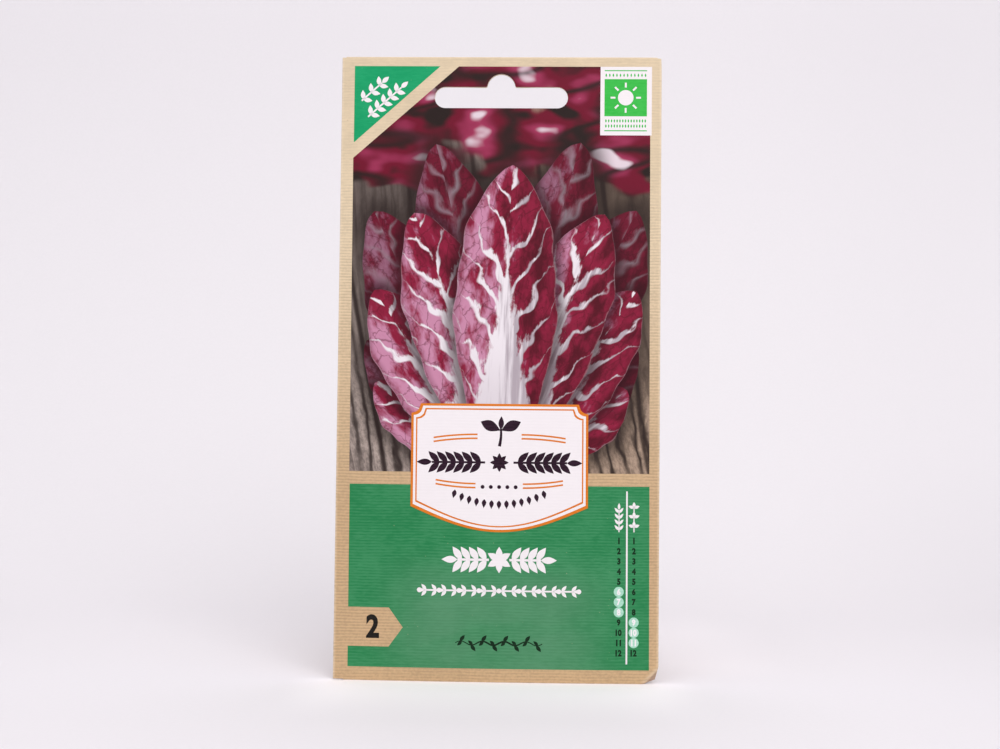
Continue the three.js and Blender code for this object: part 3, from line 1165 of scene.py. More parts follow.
@dataclass(frozen=True)
class SweepFinish(Finish):
    """White studio paper, with painted light at the packet's foot and beside it that offsets its shadow
    there, and a painted shade, a vignette, towards the sides and on the right.
    """

    painted_light: Colour = (0.99, 0.96, 0.99)
    painted_shade: Colour = (0.76, 0.74, 0.765)

    def make(self, desk: Desk) -> None:
        """Lays the material out.

        Args:
            desk: The material's desk.
        """
        grain = desk.noise(desk.place, 900.0, 2.0)
        colour = desk.blend(grain.rise(0.3, 0.7), (0.815, 0.795, 0.82), (0.825, 0.805, 0.83))
        x, y, z = desk.place.parts()
        # Painted light: the floor paler at the packet's foot and beside its right side, to offset its shadow
        # there.
        near = y.rise(-0.06, -0.006) * abs(x).rise(0.054, 0.036) * y.rise(0.0, -0.006)
        beside = x.rise(0.04, 0.048) * x.rise(0.085, 0.055, 0.0, 0.35)
        beside = beside * (y.rise(0.0, 0.03) * y.rise(0.15, 0.08))
        # Painted shade: a vignette, duller towards the sides in front and on the right.
        far = abs(x).rise(0.08, 0.2) * y.rise(-0.02, -0.1)
        right = x.rise(0.075, 0.2) * z.rise(0.0, 0.06, 1.0, 0.42)
        colour = desk.blend(desk.math("MAXIMUM", near, beside), colour, self.painted_light)
        colour = desk.blend(desk.math("MAXIMUM", far, right), colour, self.painted_shade)
        desk.shade(colour, 0.7, 0.25)


KRAFT = KraftFinish("kraft", "kraft_paper")
# The green carries a painted sheen low on the belly.
GREEN = InkFinish(
    "green_ink", "green_print", (0.008, 0.195, 0.058), (0.036, 0.25, 0.095), shine=0.3, painted_sheen=0.42
)
FRESH_GREEN = InkFinish("fresh_green_ink", "fresh_green_print", (0.03, 0.45, 0.052), (0.05, 0.5, 0.075))
CORNER_GREEN = InkFinish("corner_green_ink", "green_print", (0.003, 0.31, 0.115), (0.01, 0.345, 0.135))
WHITE = InkFinish("white_ink", "white_print", (0.83, 0.785, 0.8), (0.85, 0.805, 0.82), 0.5, 0.05, 0.004)
MINT = InkFinish("mint_ink", "mint_print", (0.35, 0.65, 0.5), (0.42, 0.7, 0.56), 0.5, 0.1)
ORANGE = InkFinish("orange_ink", "orange_print", (0.64, 0.16, 0.008), (0.7, 0.2, 0.02), 0.5, 0.15)
PLUM = InkFinish("plum_ink", "dark_print", (0.014, 0.002, 0.01), (0.028, 0.008, 0.022), 0.5, 0.1, 0.004)
BLACK = InkFinish("black_ink", "dark_print", (0.006, 0.005, 0.004), (0.014, 0.012, 0.01), 0.5, 0.1)
DEEP_GREEN = InkFinish("deep_green_ink", "dark_print", (0.002, 0.016, 0.005), (0.005, 0.028, 0.01), 0.5, 0.1)
BOARDS = BoardsFinish("boards_picture", "board_print")
FRONT_LEAF = LeafFinish("leaf_picture", "crimson_print")
BACK_LEAF = LeafFinish(
    "dim_leaf_picture", "crimson_print", rib_light=(0.5, 0.33, 0.4), midrib=6.0, focus=0.3, gloom=0.5
)
GLUE = GlueFinish("dried_paste", "dried_glue")
HUSK = SeedFinish("seed_husk", "seed_husk")
SWEEP = SweepFinish("studio_paper", "")


# The pieces


@dataclass
class Envelope:
    """The folded sheet of paper: a tube of two back panels, two side folds and the front, with two flaps.

    Sizes are in millimetres. Each flap runs from the front's edge, round a small turn, over the packet's end,
    round a second turn and along the back to its free edge. Grids are rows by columns by six: a point of the
    paper's middle and its outward direction.
    """

    form: PacketForm = FORM
    slot: HangSlot = SLOT
    turn: float = 0.2
    bottom_flap: float = 20.0
    bottom_inset: float = 2.5
    top_flap: float = 30.0
    top_inset: float = 0.8
    taper: float = 3.5
    straight_part: float = 20.0
    foot: float = 7.5
    slot_rows_from: float = 141.0
    closest: float = 0.06
    upper_rows: int = 12
    flap_rows: int = 15

    def front_columns(self) -> Array:
        """Places the front's columns, closest on the slot's outline and where the corners bend.

        Returns:
            Places across, from left to right.
        """
        half = self.form.half
        lap, climb = self.form.lap / 2, self.form.climb_width
        marks = np.round([lap, lap + climb, half, half - self.top_inset, half - self.bottom_inset], 3)
        regular = np.concatenate([np.arange(18.5, 34.0, 1.55), np.arange(34.0, half, 0.55)])
        right = np.unique(np.round(np.concatenate([self.slot.columns(), regular, marks]), 3))
        right = right[right >= 0]
        close = np.append(np.diff(right) < self.closest, False) & ~np.isin(right, marks)
        return both_sides(right[~close])

    def levels(self, x: Array) -> Array:
        """Heights of the tube's rows: first up to the slot's lower edge, then from its upper one.

        Args:
            x: Places across.

        Returns:
            The heights, rows by columns.
        """
        low, high = self.slot.opening(x)
        start, split = self.form.half_sheet + self.turn, self.slot_rows_from
        fixed = np.concatenate([np.linspace(start, self.foot, 17), np.linspace(self.foot, split, 84)[1:]])
        below = split + (low - split) * shares(6)[1:, None]
        above = high + (self.form.height - start - high) * shares(self.upper_rows + 1)[:, None]
        return np.concatenate([np.broadcast_to(fixed[:, None], (len(fixed), len(low))), below, above])

    def tube(self) -> Array:
        """Lays out the tube in the order of the sheet: inner back, fold, front, fold, outer back.

        A fold is half a circle from panel to panel, and the panels follow the form.

        Returns:
            The grid.
        """
        form, front, fold = self.form, self.front_columns(), self.form.fold_radius
        left = math.pi / 2 + np.linspace(0.0, math.pi, 9)[1:-1]
        cos_l, sin_l = np.cos(left), np.sin(left)
        cos_r, sin_r = np.cos(math.pi + left), np.sin(math.pi + left)
        strips = (
            (front[front <= form.lap / 2][::-1], form.back, 0.0, 1.0),
            (fold * cos_l - form.half, lambda x, z: fold * sin_l, cos_l, sin_l),
            (front, form.front, 0.0, -1.0),
            (fold * cos_r + form.half, lambda x, z: fold * sin_r, cos_r, sin_r),
            (front[front >= -form.lap / 2][::-1], form.outer_lap, 0.0, 1.0),
        )
        grids = []
        for x, depth, out_x, out_y in strips:
            short = np.where(out_y > -0.5, form.layer, form.half_sheet + self.turn)
            z = np.clip(self.levels(x), short, form.height - short)
            grids.append(np.stack(np.broadcast_arrays(x, depth(x, z), z, out_x, out_y, 0.0), axis=-1))
        return np.concatenate(grids, axis=1)

    def flap(self, x: Array, upwards: bool) -> Array:
        """Grid of a flap, from the row next to the front's edge to its free edge.

        Args:
            x: Places across at the front's edge.
            upwards: Whether it is the bottom flap, which runs up the back.

        Returns:
            The grid.
        """
        form, turn = self.form, self.turn
        end, sign, length = (0.0, 1.0, self.bottom_flap) if upwards else (form.height, -1.0, self.top_flap)
        edge = end + sign * (form.half_sheet + turn)
        near, far = form.front(x, np.full_like(x, edge)), form.flap(x, np.full_like(x, edge))
        rows = []
        for angle in quarter(6)[1:]:
            out_y, out_z = -math.cos(angle), -sign * math.sin(angle)
            rows.append((x, near + turn * (1.0 + out_y), edge + turn * out_z, 0.0, out_y, out_z))
        for share in (0.33, 0.67):
            y = near + turn + (far - near - 2.0 * turn) * share
            rows.append((x, y, edge - sign * turn, 0.0, 0.0, -sign))
        for angle in quarter(6):
            out_y, out_z = math.sin(angle), -sign * math.cos(angle)
            rows.append((x, far - turn * (1.0 - out_y), edge + turn * out_z, 0.0, out_y, out_z))
        low, high = self.slot.opening(x)
        if upwards:
            heights = [np.full_like(x, z) for z in np.linspace(edge, length, self.flap_rows)[1:]]
        else:
            heights = [edge + (high - edge) * t for t in shares(self.upper_rows + 1)[1:]]
            heights += [low + (form.height - length - low) * t for t in shares(self.flap_rows)]
        reach = abs(x) - self.straight_part
        for z in heights:
            drawn = self.straight_part + reach * (1.0 - self.taper * (abs(z - end) / length) / reach[0])
            across = np.where(reach > 0.0, np.sign(x) * drawn, x)
            rows.append((across, form.flap(across, z), z, 0.0, 1.0, 0.0))
        return np.stack([np.stack(np.broadcast_arrays(*row), axis=-1) for row in rows])

    def build(self) -> None:
        """Joins the tube and its flaps into one closed sheet of even thickness."""
        tube = self.tube()
        index = shared_numbers(tube[..., :3])
        faces = [grid_faces(block) for block in np.split(index, [len(index) - self.upper_rows - 1])]
        grids, total = [tube], index.size
        for upwards, inset in ((True, self.bottom_inset), (False, self.top_inset)):
            chosen = (tube[0, :, 4] == -1.0) & (abs(tube[0, :, 0]) <= self.form.half - inset + 0.01)
            grids.append(self.flap(tube[0, chosen, 0], upwards))
            numbers = shared_numbers(grids[-1][..., :3]) + total
            total += numbers.size
            flap = np.concatenate([index[0 if upwards else -1][None, chosen], numbers])
            blocks = [flap[::-1]] if upwards else np.split(flap, [len(flap) - self.flap_rows])
            faces += [grid_faces(block) for block in blocks]
        used, numbers = np.unique(tidy_faces(np.concatenate(faces)), return_inverse=True)
        rows = np.concatenate([grid.reshape(-1, 6) for grid in grids])[used]
        points, out = rows[:, :3], rows[:, 3:]
        sides = [self.form.settle(points + side * self.form.half_sheet * out) for side in (1.0, -1.0)]
        # Folds and the crease line read paler: worn paper, partly a painted highlight where they would catch
        # the light.
        past = self.form.corners()[0].past(points[:, 0], points[:, 2])
        crease = 1.0 - smooth_step(0.15, 0.75, abs(past - 0.3))
        ends = smooth_step(0.1, 0.8, abs(out[:, [0, 2]]).max(axis=1))
        worn = np.maximum(ends, 0.6 * smooth_step(40.6, 41.05, abs(points[:, 0])))
        # Past the crease, the bent facet gets a painted shade, as it turns away from the light.
        reads = {"wear_and_highlight": np.maximum(worn, 0.55 * crease), "bent_corner_shade": smooth_step(0.5, 1.1, past)}
        piece = make_shell("envelope_sheet", sides, numbers.reshape(-1, 4), reads)
        register(piece, KRAFT, "paper_envelope")


class Level(Enum):
    """How far each kind of print stands proud of the middle of the paper, in millimetres."""

    PANEL = 0.062
    BACK_LEAF = 0.068
    MARK = 0.070
    OVER_MARK = 0.077
    TOP_MARK = 0.084
    FRONT_LEAF = 0.092
    PLATE = 0.140
    PLATE_BAND = 0.147
    PLATE_LINE = 0.154
    PLATE_FIELD = 0.161
    PLATE_MARK = 0.168


@dataclass
class Print:
    """Ink on the packet's front: a thin closed film that follows the paper.

    Below the header, the print runs slightly askew to the folds.
    """

    form: PacketForm = FORM
    film: float = 0.012
    layer: float = 0.0009
    leaf_layer: float = 0.004
    skew: float = 0.003
    skew_top: float = 140.0

    def lay(
        self,
        name: str,
        patch: Patch,
        finish: Finish,
        level: Level = Level.MARK,
        leaves_under: int = 0,
        reads: dict[str, Array] | None = None,
    ) -> None:
        """Makes one print.

        Args:
            name: Name of the piece.
            patch: Its shape on the front panel.
            finish: Its ink.
            level: How far it stands proud of the paper.
            leaves_under: How many leaves of its kind it lies over.
            reads: What the finish reads at each place.
        """
        x, z = patch.places.T
        x = x + self.skew * np.maximum(self.skew_top - z, 0.0)
        proud = level.value + self.leaf_layer * leaves_under + self.layer * patch.lift
        face = self.form.front(x, z) - proud
        sides = [self.form.settle(as_points(x, y, z)) for y in (face, face + self.film)]
        register(make_shell(name, sides, patch.faces, reads or {}), finish)


@dataclass(frozen=True)
class Leaf:
    """One pictured leaf: it rises from a root at an angle from upright, in degrees, and curls on its way.

    Lengths are in millimetres. phase is where the waves of its margin start, and root_spread how far from the
    root a leaf would start that lies flat.
    """

    angle: float
    length: float
    width: float
    curl: float
    phase: float
    root_spread: float = 4.5
    steps: int = 72
    spokes: int = 21

    def lay_out(self, root: tuple[float, float]) -> tuple[Patch, dict[str, Array], Array]:
        """Draws the leaf: a midrib whose direction turns, and a half width that swells, waves and ends in 0.

        Args:
            root: Where the leaves of the fan start.

        Returns:
            The patch, the attributes that its finish reads, and the points of its margin.
        """
        share = shares(self.steps)[:, None]
        heading = np.radians(self.angle + self.curl * share**2)
        step = self.length / (self.steps - 1)
        foot = self.root_spread * math.sin(math.radians(self.angle))
        ahead = np.hstack([np.sin(heading), np.cos(heading)])
        run = np.cumsum(np.concatenate([[[0.0, 0.0]], ahead[:-1]]), axis=0)
        x, z = root[0] + foot + run[:, :1] * step, root[1] + run[:, 1:] * step
        swell = 0.3 * (1.0 - share) ** 2 + 0.95 * np.sin(math.pi * share**1.25) ** 0.62
        waves = 0.06 * np.sin(17.0 * share + self.phase) + 0.035 * np.sin(41.0 * share + 2.0 * self.phase)
        half = self.width / 2 * swell * (1.0 + share * waves)
        half[-1] = 0.0
        spread = np.sin(np.linspace(-math.pi / 2, math.pi / 2, self.spokes))
        side = half * spread
        places = np.stack([x + side * np.cos(heading), z - side * np.sin(heading)], axis=-1)
        index = np.arange(side.size).reshape(side.shape)
        index[-1] = index[-1, 0]
        used, faces = np.unique(tidy_faces(grid_faces(index)), return_inverse=True)
        along = as_points(side, share * self.length + 100.0 * self.phase, share)[used]
        margin = np.tile(np.abs(spread), self.steps)[used]
        patch = Patch(places.reshape(-1, 2)[used], faces.reshape(-1, 4))
        return patch, {"leaf_place": along, "leaf_margin": margin}, places[:, [0, -1]].reshape(-1, 2)


@dataclass
class Picture:
    """The printed picture: a panel of boards without its upper left corner, and leaves fanned over it.

    Sizes are in millimetres. The leaves are listed from the back to the front.
    """

    printer: Print
    left: float = -38.1
    right: float = 38.4
    bottom: float = 52.95
    top: float = 157.5
    cut_along: float = -11.0
    cut_down: float = 133.6
    root: tuple[float, float] = (0.6, 57.0)
    back_leaves: tuple[Leaf, ...] = (
        Leaf(-46.0, 43.0, 20.0, -3.0, 0.3),
        Leaf(47.0, 42.0, 20.0, 4.0, 1.1),
        Leaf(-27.0, 70.0, 25.0, 2.0, 2.2),
        Leaf(28.0, 71.0, 25.0, -3.0, 0.7),
        Leaf(-10.0, 82.0, 25.0, -5.0, 1.9),
        Leaf(12.0, 83.0, 24.0, 4.0, 2.8),
    )
    front_leaves: tuple[Leaf, ...] = (
        Leaf(-60.0, 34.0, 17.0, 9.0, 0.9),
        Leaf(62.0, 33.0, 17.0, -10.0, 2.0),
        Leaf(-37.0, 52.0, 21.0, 5.0, 1.4),
        Leaf(38.0, 53.0, 21.0, -4.0, 0.2),
        Leaf(-17.0, 66.0, 23.0, -6.0, 2.6),
        Leaf(20.0, 67.0, 23.0, 5.0, 1.7),
        Leaf(1.0, 75.0, 26.0, 3.0, 0.5),
    )

    def panel(self) -> Patch:
        """Lays out the panel round the hang slot: a block of columns up to the slot and one from it.

        Its top follows the line that cuts the corner off.

        Returns:
            The patch.
        """
        steps = np.arange(18.6, 38.0, 1.45)
        x = np.concatenate([-steps[::-1], SLOT.columns(), steps])
        x = x[(x > self.left) & (x < self.right) & (abs(x - self.cut_along) > 0.1)]
        x = np.unique(np.round(np.concatenate([[self.left, self.cut_along], x, [self.right]]), 4))
        slope = (self.top - self.cut_down) / (self.cut_along - self.left)
        top = np.minimum(self.top, self.cut_down + (x - self.left) * slope)
        low, high = SLOT.opening(x)
        shut = np.isclose(low, high)
        low = np.where(shut, np.minimum(low, top - 3.0), low)
        return columns_between(x, (self.bottom, low, 65), (np.where(shut, low, high), top, 7))

    @staticmethod
    def reach(places: Array, rims: list[Array]) -> Array:
        """Measures how near the leaves are that lie over each place.

        Args:
            places: The places.
            rims: Points of each leaf's margin.

        Returns:
            Distance to the nearest of those points, and a long one where there are none.
        """
        if not rims:
            return np.full(len(places), FAR_OFF)
        return np.linalg.norm(places[:, None] - np.concatenate(rims), axis=2).min(axis=1)

    def build(self) -> None:
        """Prints the panel, then the leaves from the back to the front."""
        groups = (
            ("back_leaf", self.back_leaves, Level.BACK_LEAF, BACK_LEAF),
            ("front_leaf", self.front_leaves, Level.FRONT_LEAF, FRONT_LEAF),
        )
        drawn = [
            (f"{label}_{k + 1}", level, k, finish, *leaf.lay_out(self.root))
            for label, leaves, level, finish in groups
            for k, leaf in enumerate(leaves)
        ]
        rims, panel = [entry[-1] for entry in drawn], self.panel()
        reads = {"reach": self.reach(panel.places, rims)}
        self.printer.lay("picture_boards", panel, BOARDS, Level.PANEL, reads=reads)
        for place, (name, level, under, finish, patch, reads, _) in enumerate(drawn):
            reads["reach"] = self.reach(patch.places, rims[place + 1 :])
            self.printer.lay(name, patch, finish, level, under, reads)


@dataclass
class LowerPanel:
    """The green panel with its cut-out tag, its ornaments, and the calendar of months."""

    printer: Print
    left: float = -37.95
    right: float = 38.45
    bottom: float = 3.45
    top: float = 49.7
    tag: tuple[float, float] = (8.6, 18.5)
    tag_shoulder: float = -27.5
    tag_tip: float = -23.9
    middle: float = 0.45
    bead_pitch: float = 5.05
    vine_turns: float = 1.14
    calendar_line: tuple[float, float, float, float] = (32.54, 4.95, 32.96, 48.5)
    calendar_columns: tuple[float, float] = (30.75, 34.55)
    calendar_first: float = 35.98
    calendar_step: float = 2.565
    dot: float = 2.55
    marked: tuple[tuple[int, ...], tuple[int, ...]] = ((6, 7, 8), (9, 10, 11))

    def panel(self) -> Patch:
        """Lays out the panel in two blocks that meet at the tag's tip: below the tag's edge and above it.

        Returns:
            The patch.
        """
        low, high = self.tag
        corners = [self.left, self.tag_shoulder, self.tag_tip]
        x = np.unique(np.round(np.concatenate([np.linspace(self.left, self.right, 54), corners]), 3))
        under, over = (np.interp(x, corners, [edge, edge, (low + high) / 2]) for edge in self.tag)
        return columns_between(x, (self.bottom, under, 10), (over, self.top, 25))

    def calendar(self) -> None:
        """Prints the line, the numbers of the months in two columns, and a dot on each marked month."""
        lay, columns = self.printer.lay, self.calendar_columns
        lay("calendar_line", rectangle(*self.calendar_line), WHITE)
        dark, pale, dots = [], [], []
        for x, marked in zip(columns, self.marked):
            for month in range(1, 13):
                z = self.calendar_first - self.calendar_step * (month - 1)
                (pale if month in marked else dark).append(figures(str(month), 1.66, 0.86, 0.055).moved(x, z))
                if month in marked:
                    dots.append(disc(self.dot / 2).moved(x, z))
        lay("calendar_numbers", Patch.joined(dark), DEEP_GREEN)
        lay("calendar_dots", Patch.joined(dots), MINT)
        lay("calendar_marked_numbers", Patch.joined(pale), WHITE, Level.OVER_MARK)
        heads = [sprig(5.6, 4, 1.75, 0.66, 40.0, 0.26).turned(90.0).moved(columns[0], 38.2)]
        bud = Patch.joined(blade(1.5, 0.8).fanned((20.0, 90.0, 160.0)) + [rectangle(-0.13, -1.3, 0.13, 0.2)])
        heads += [bud.moved(columns[1], foot) for foot in (39.5, 41.9, 44.3)]
        lay("calendar_heads", Patch.joined(heads), WHITE)

    def ornaments(self) -> None:
        """Prints the two white ornaments, the small dark one and the tag's number."""
        lay, pitch, turns = self.printer.lay, self.bead_pitch, self.vine_turns
        twig = sprig(8.0, 4, 4.0, 1.75, 54.0, 0.6).moved(2.6)
        title = [twig, twig.mirrored()] + blade(3.3, 1.7).fanned(range(30, 390, 60)) + [disc(0.8)]
        lay("title_ornament", Patch.joined(title).moved(self.middle, 30.9), WHITE)
        beads = [disc(0.62, 16).moved(pitch * k) for k in range(-4, 5)]
        small = sprig(3.3, 2, 1.95, 0.85, 50.0, 0.42).moved(-2.1)
        beads += [small.mirrored().moved(pitch * (k + 0.5)) for k in range(-4, 0)]
        beads += [small.moved(pitch * (k + 0.5)) for k in range(4)]
        lay("line_ornament", Patch.joined(beads).moved(self.middle, 23.1), WHITE)
        x = np.linspace(-11.0, 11.0, 60)
        vine = [stroke(x, 0.5 * np.sin(x * turns), 0.34 + 0.12 * np.cos(x * 0.28))]
        for k in range(-4, 4):
            crest = (k + 0.5) * math.pi / turns
            up = 1.0 if math.sin(crest * turns) > 0 else -1.0
            vine.append(blade(2.0, 0.95).turned(52.0 * up).moved(crest - 0.2, 0.45 * up))
            vine.append(blade(1.6, 0.8).turned(-138.0 * up).moved(crest + 0.3, 0.4 * up))
        lay("dark_ornament", Patch.joined(vine).moved(0.5, 9.9), DEEP_GREEN)
        lay("tag_number", figures("2", 6.0, 0.84, 0.04).moved(-31.6, 13.7), BLACK, Level.PANEL)

    def build(self) -> None:
        """Prints the panel and all that is on it."""
        self.printer.lay("green_panel", self.panel(), GREEN, Level.PANEL)
        self.calendar()
        self.ornaments()


@dataclass
class Plaque:
    """The plate over picture and panel: an off-white field in two orange lines, with an arched foot.

    Each outline is the plate's own, drawn in by a distance.
    """

    printer: Print
    middle: float = 0.3
    half: float = 22.55
    top: float = 70.4
    side_foot: float = 44.2
    foot: float = 37.9
    notch: float = 2.4
    rule: float = 0.42

    def outline(self, inset: float) -> Patch:
        """The plate drawn in by inset: hollow upper corners, straight sides and a foot that follows a cosine.

        Args:
            inset: Distance from the plate's own outline.

        Returns:
            The patch.
        """
        half, notch = self.half - inset, self.notch
        hollow = notch * (1.0 - np.cos(quarter(9))) - half
        x = np.concatenate([hollow, np.linspace(-half + notch, half - notch, 37)])
        x = np.unique(np.round(np.concatenate([x, -x]), 4))
        into = np.clip(notch - (half - np.abs(x)), 0.0, notch)
        cut = np.sqrt(np.maximum(notch**2 - (notch - into) ** 2, 0.0))
        top = self.top - inset - np.where(into > 0, cut, 0.0)
        sag = np.cos(math.pi / 2 * np.abs(x) / half)
        low = self.side_foot + inset - (self.side_foot - self.foot) * sag
        return columns_between(x, (low, top, 22)).moved(self.middle)

    def lay(self, name: str, patches: list[Patch], finish: Finish, height: float = 0.0) -> None:
        """Prints shapes as one mark on the plate, at a height over its middle line."""
        self.printer.lay(name, Patch.joined(patches).moved(self.middle, height), finish, Level.PLATE_MARK)

    def build(self) -> None:
        """Prints the plate, its lines and its ornament."""
        lay = self.printer.lay
        lay("plaque_rim", self.outline(0.0), ORANGE, Level.PLATE)
        lay("plaque_band", self.outline(0.6), WHITE, Level.PLATE_BAND)
        lay("plaque_line", self.outline(1.2), ORANGE, Level.PLATE_LINE)
        lay("plaque_field", self.outline(1.56), WHITE, Level.PLATE_FIELD)
        t = shares(12)
        leaves = [leaf.moved(0.3, 4.0) for leaf in blade(5.6, 2.7, 0.55).fanned((24.0, 156.0))]
        seedling = [stroke(0.4 * np.sin(2.2 * t), 4.6 * t, 0.8 - 0.3 * t), *leaves]
        seedling.append(blade(3.4, 1.4).turned(88.0).moved(0.35, 4.3))
        self.lay("plaque_seedling", seedling, PLUM, 59.6)
        branch = sprig(13.6, 6, 3.9, 1.6, 44.0, 0.55).moved(3.6)
        star = blade(2.4, 1.15).fanned(range(0, 360, 45))
        self.lay("plaque_branches", [branch, branch.mirrored(), *star], PLUM, 55.5)
        t, rules = shares(16), []
        for drop in (0.0, 1.0):
            rules.append(stroke(11.2 * t + 5.6, 62.6 - drop - 0.9 * t**2, self.rule))
            rules.append(stroke(10.2 * t + 6.0, 50.1 - drop + 0.9 * t**2, self.rule))
        right = Patch.joined(rules)
        self.lay("plaque_rules", [right, right.mirrored()], ORANGE)
        seeds = [disc(0.5, 14).moved(2.1 * k, 49.3) for k in range(-2, 3)]
        for k in range(-6, 7):
            seeds.append(blade(2.3, 1.15, 0.6).turned(90.0 + 2.2 * k).moved(1.95 * k, 43.6 + 0.075 * k**2))
        self.lay("plaque_seeds", seeds, PLUM)


@dataclass
class Corners:
    """The green triangle in the upper left corner, and the white box in the upper right one."""

    printer: Print
    left: float = -38.0
    right: float = -15.8
    low: float = 137.6
    top: float = 157.55
    box: tuple[float, float, float, float] = (25.55, 139.7, 38.75, 157.5)
    square: tuple[float, float, float, float] = (26.6, 144.65, 37.5, 154.3)
    rule: float = 0.26

    def build(self) -> None:
        """Prints both corners with their plain ornaments."""
        lay = self.printer.lay
        x = np.linspace(self.left, self.right, 18)
        base = np.interp(x, [self.left, self.right], [self.low, self.top])
        lay("corner_triangle", columns_between(x, (base, self.top, 12)), CORNER_GREEN, Level.PANEL)
        slope = math.degrees(math.atan2(self.top - self.low, self.right - self.left))
        rows = ((7.0, 3, -36.1, 148.5), (11.4, 5, -34.4, 144.3))
        twigs = [
            sprig(reach, pairs, 2.4, 1.2, 52.0, 0.42).turned(slope).moved(x, z) for reach, pairs, x, z in rows
        ]
        lay("corner_twigs", Patch.joined(twigs), WHITE)
        lay("box_field", rectangle(*self.box), WHITE)
        lay("box_square", rectangle(*self.square), FRESH_GREEN, Level.OVER_MARK)
        left, low, right, high = self.square
        sun = Patch.joined([disc(2.0, 32)] + rectangle(2.65, -0.24, 3.9, 0.24).fanned(range(0, 360, 45)))
        lay("box_sun", sun.moved((left + right) / 2, (low + high) / 2), WHITE, Level.TOP_MARK)
        lines = [rectangle(left, z - self.rule / 2, right, z + self.rule / 2) for z in (156.5, 140.9)]
        grass = blade(0.95, 0.4, 0.5).turned(90.0).moved(0.0, -0.47)
        for z, count in ((155.3, 12), (143.45, 15), (142.1, 15)):
            lines += [grass.moved(x, z) for x in np.linspace(27.0, 37.1, count)]
        lay("box_lines", Patch.joined(lines), FRESH_GREEN, Level.OVER_MARK)


def spun(a: Array, b: Array, angle: Array) -> tuple[Array, Array]:
    """Turns each row of a plane's two parts by that row's angle."""
    c, s = np.cos(angle)[:, None], np.sin(angle)[:, None]
    return a * c - b * s, a * s + b * c


@dataclass
class SeedPile:
    """The seeds at the bottom of the packet: narrow five-sided husks with a blunt crown, in loose layers."""

    form: PacketForm = FORM
    length: float = 2.5
    width: float = 1.15
    flatness: float = 0.85
    half_width: float = 32.0
    depth: float = 16.6
    slump: float = 5.0
    clearance: float = 0.95
    layer: float = 1.04
    sides: int = 5

    def husk(self) -> tuple[Array, Array]:
        """One seed along x: a ring at each station, as wide as the husk is there, and a point at each end.

        Returns:
            Its points in millimetres and its faces.
        """
        stations, radii = np.array([-0.46, 0.05, 0.34, 0.48]), np.array([0.24, 0.5, 0.44, 0.32])
        angle, radii = circle(self.sides), radii[:, None] * self.width
        across, up = radii * np.cos(angle), radii * np.sin(angle) * self.flatness
        rings = as_points(stations[:, None] * self.length, across, up)
        ends = as_points(np.array([-0.5, 0.5]) * self.length, 0.0, 0.0)
        index = np.arange(len(rings)).reshape(len(stations), self.sides).T
        foot, crown = (np.full((self.sides, 1), len(rings) + end) for end in (0, 1))
        index = np.concatenate([foot, index, crown], axis=1)
        return np.concatenate([rings, ends]), tidy_faces(grid_faces(np.concatenate([index, index[:1]])))

    def build(self) -> None:
        """Lays a seed at every place of a loose grid that is inside the pocket, each turned its own way."""
        draw = np.random.default_rng(7)
        spans = (np.arange(-31.0, 31.1, 2.15), np.arange(-1.4, 8.2, 1.12), np.arange(1.2, 17.0, self.layer))
        x, y, z = (part.ravel() for part in np.meshgrid(*spans, indexing="ij"))
        x = x + draw.uniform(-0.5, 0.5, x.size) + 0.9 * (np.round(z / self.layer) % 2)
        y, z = y + draw.uniform(-0.12, 0.12, y.size), z + draw.uniform(-0.1, 0.1, z.size)
        inside = (y > self.form.front(x, z) + self.clearance) & (y < self.form.back(x, z) - self.clearance)
        inside &= (abs(x) < self.half_width) & (z < self.depth - self.slump * (x / self.half_width) ** 2)
        middle = self.form.settle(as_points(x, y, z)[inside])
        count = len(middle)
        spin, tilt = draw.uniform(-0.35, 0.35, count), draw.uniform(-0.16, 0.16, count)
        spin += math.pi * draw.integers(0, 2, count)
        roll = draw.uniform(0.0, 2.0 * math.pi, count)
        points, faces = self.husk()
        px, py, pz = points.T
        py, pz = spun(py, pz, roll)
        px, pz = spun(px, pz, tilt)
        px, py = spun(px, py, spin)
        solid = middle[:, None, :] + np.stack([px, py, pz], axis=-1) * MM
        numbers = faces[None] + (np.arange(count) * len(points))[:, None, None]
        shade = np.repeat(draw.uniform(0.0, 1.0, count), len(points))
        piece = make_mesh("seeds", solid.reshape(-1, 3), numbers.reshape(-1, 4), {"shade": shade})
        register(piece, HUSK, "seed_heap")


# The studio


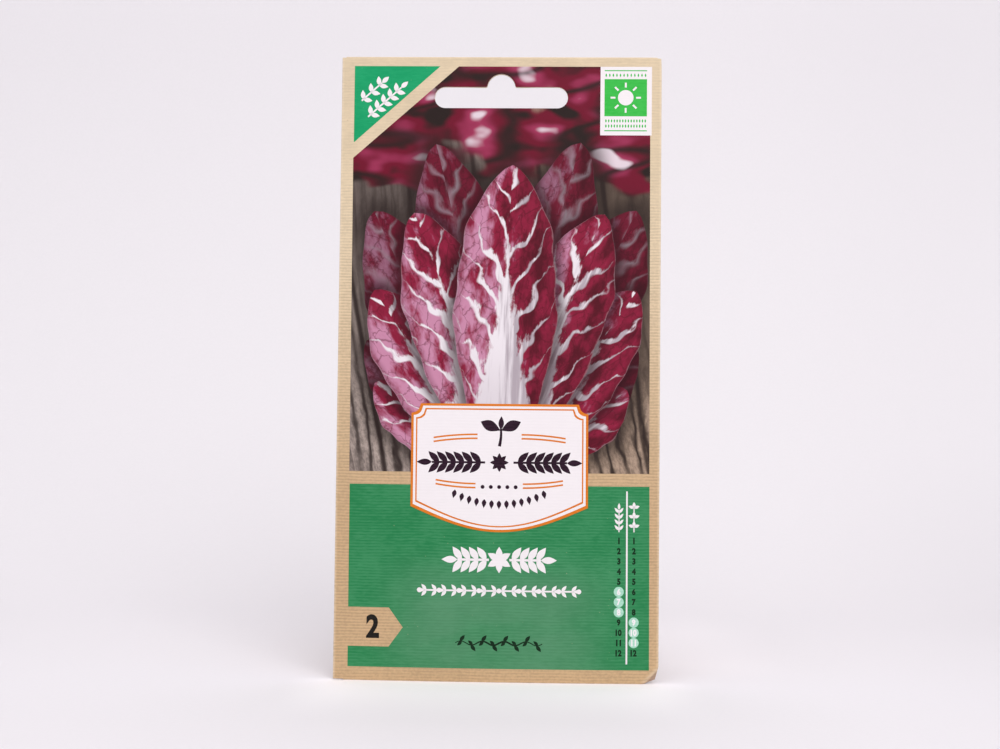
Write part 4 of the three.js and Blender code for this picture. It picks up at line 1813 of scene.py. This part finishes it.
@dataclass
class Studio:
    """A white sweep, soft lights and the camera at the photograph's place, in metres and degrees."""

    target: tuple[float, float, float] = (0.00038, 0.0, 0.07795)
    distance: float = 0.42
    azimuth: float = 1.979
    pitch: float = 0.97
    roll: float = 0.544
    lens: float = 58.885
    lamp_distance: float = 1.4
    lamp_target: tuple[float, float, float] = (0.0, 0.0, 0.055)
    sweep_front: float = -1.6
    sweep_back: float = 0.12
    sweep_radius: float = 0.25
    sweep_top: float = 2.2
    sweep_side: float = 1.6

    def camera(self) -> None:
        """Sets the camera: it looks at the target from a distance, turned by azimuth, pitch and roll."""
        azimuth, pitch, roll = (math.radians(angle) for angle in (self.azimuth, self.pitch, self.roll))
        level = math.cos(pitch)
        ahead = Vector((-math.sin(azimuth) * level, math.cos(azimuth) * level, math.sin(pitch)))
        right = Vector((math.cos(azimuth), math.sin(azimuth), 0.0))
        up = right.cross(ahead)
        right, up = right * math.cos(roll) + up * math.sin(roll), up * math.cos(roll) - right * math.sin(roll)
        data = bpy.data.cameras.new("camera")
        data.lens, data.sensor_width, data.sensor_fit = self.lens, 36.0, "HORIZONTAL"
        data.clip_start, data.clip_end = 0.02, 20.0
        camera = bpy.data.objects.new("camera", data)
        turn = Matrix((right, up, -ahead)).transposed().to_4x4()
        camera.matrix_world = Matrix.Translation(Vector(self.target) - self.distance * ahead) @ turn
        bpy.context.scene.collection.objects.link(camera)
        bpy.context.scene.camera = camera

    def sweep(self) -> None:
        """Lays the sweep: a floor, a quarter circle and a wall, carried sideways along a straight line."""
        back, radius, arc = self.sweep_back, self.sweep_radius, quarter(25)
        floor_y = np.linspace(self.sweep_front, back, 12)[:-1]
        y = np.concatenate([floor_y, back + radius * np.sin(arc), [back + radius]])
        z = np.concatenate([np.zeros_like(floor_y), radius * (1.0 - np.cos(arc)), [self.sweep_top]])
        x = np.linspace(-self.sweep_side, self.sweep_side, 9)
        index = np.arange(len(y) * len(x)).reshape(len(y), len(x))
        floor = make_mesh("sweep", as_points(x, y[:, None], z[:, None]), grid_faces(index))
        SWEEP.dress(floor)

    def light(
        self, name: str, azimuth: float, height: float, size: float, power: float, tint: Colour
    ) -> None:
        """Hangs a square softbox that faces the packet.

        Args:
            name: Name of the light.
            azimuth: Degrees to the right of straight ahead of the packet.
            height: Degrees above the packet.
            size: Width of the softbox.
            power: Watts.
            tint: Colour of its light.
        """
        turn, rise = math.radians(azimuth), math.radians(height)
        away = Vector((math.sin(turn) * math.cos(rise), -math.cos(turn) * math.cos(rise), math.sin(rise)))
        data = bpy.data.lights.new(name, "AREA")
        data.shape, data.size, data.energy, data.color = "SQUARE", size, power, tint
        lamp = bpy.data.objects.new(name, data)
        lamp.location = Vector(self.lamp_target) + self.lamp_distance * away
        lamp.rotation_euler = away.to_track_quat("Z", "Y").to_euler()
        bpy.context.scene.collection.objects.link(lamp)

    def build(self) -> None:
        """Sets the camera, the sweep, the lights and how light becomes colour."""
        self.camera()
        self.sweep()
        self.light("key", 20.0, 35.0, 0.7, 5.9, (1.0, 0.985, 0.99))
        self.light("overhead", 0.0, 60.0, 1.4, 10.4, (1.0, 0.985, 0.995))
        world = bpy.data.worlds.new("studio")
        world.use_nodes = True
        sky = world.node_tree.nodes["Background"].inputs
        sky["Color"].default_value, sky["Strength"].default_value = (1.0, 0.975, 1.0, 1.0), 0.465
        bpy.context.scene.world = world
        bpy.context.scene.view_settings.view_transform = "Standard"


def dress_glue() -> None:
    """Gives each film of glue, which the frame already shapes, its procedural finish."""
    for name in ("back_seam_glue", "back_seam_top_glue", "header_glue", "bottom_flap_glue", "top_flap_glue"):
        GLUE.dress(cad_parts[name])
        log.info("%s: dressed", name)


def main() -> None:
    """Builds the studio, the envelope, its print, the glue and the seeds."""
    logging.basicConfig(level=logging.INFO, format="%(name)s: %(message)s")
    Studio().build()
    Envelope().build()
    printer = Print()
    Picture(printer).build()
    LowerPanel(printer).build()
    Plaque(printer).build()
    Corners(printer).build()
    dress_glue()
    SeedPile().build()


if __name__ == "__main__":
    main()
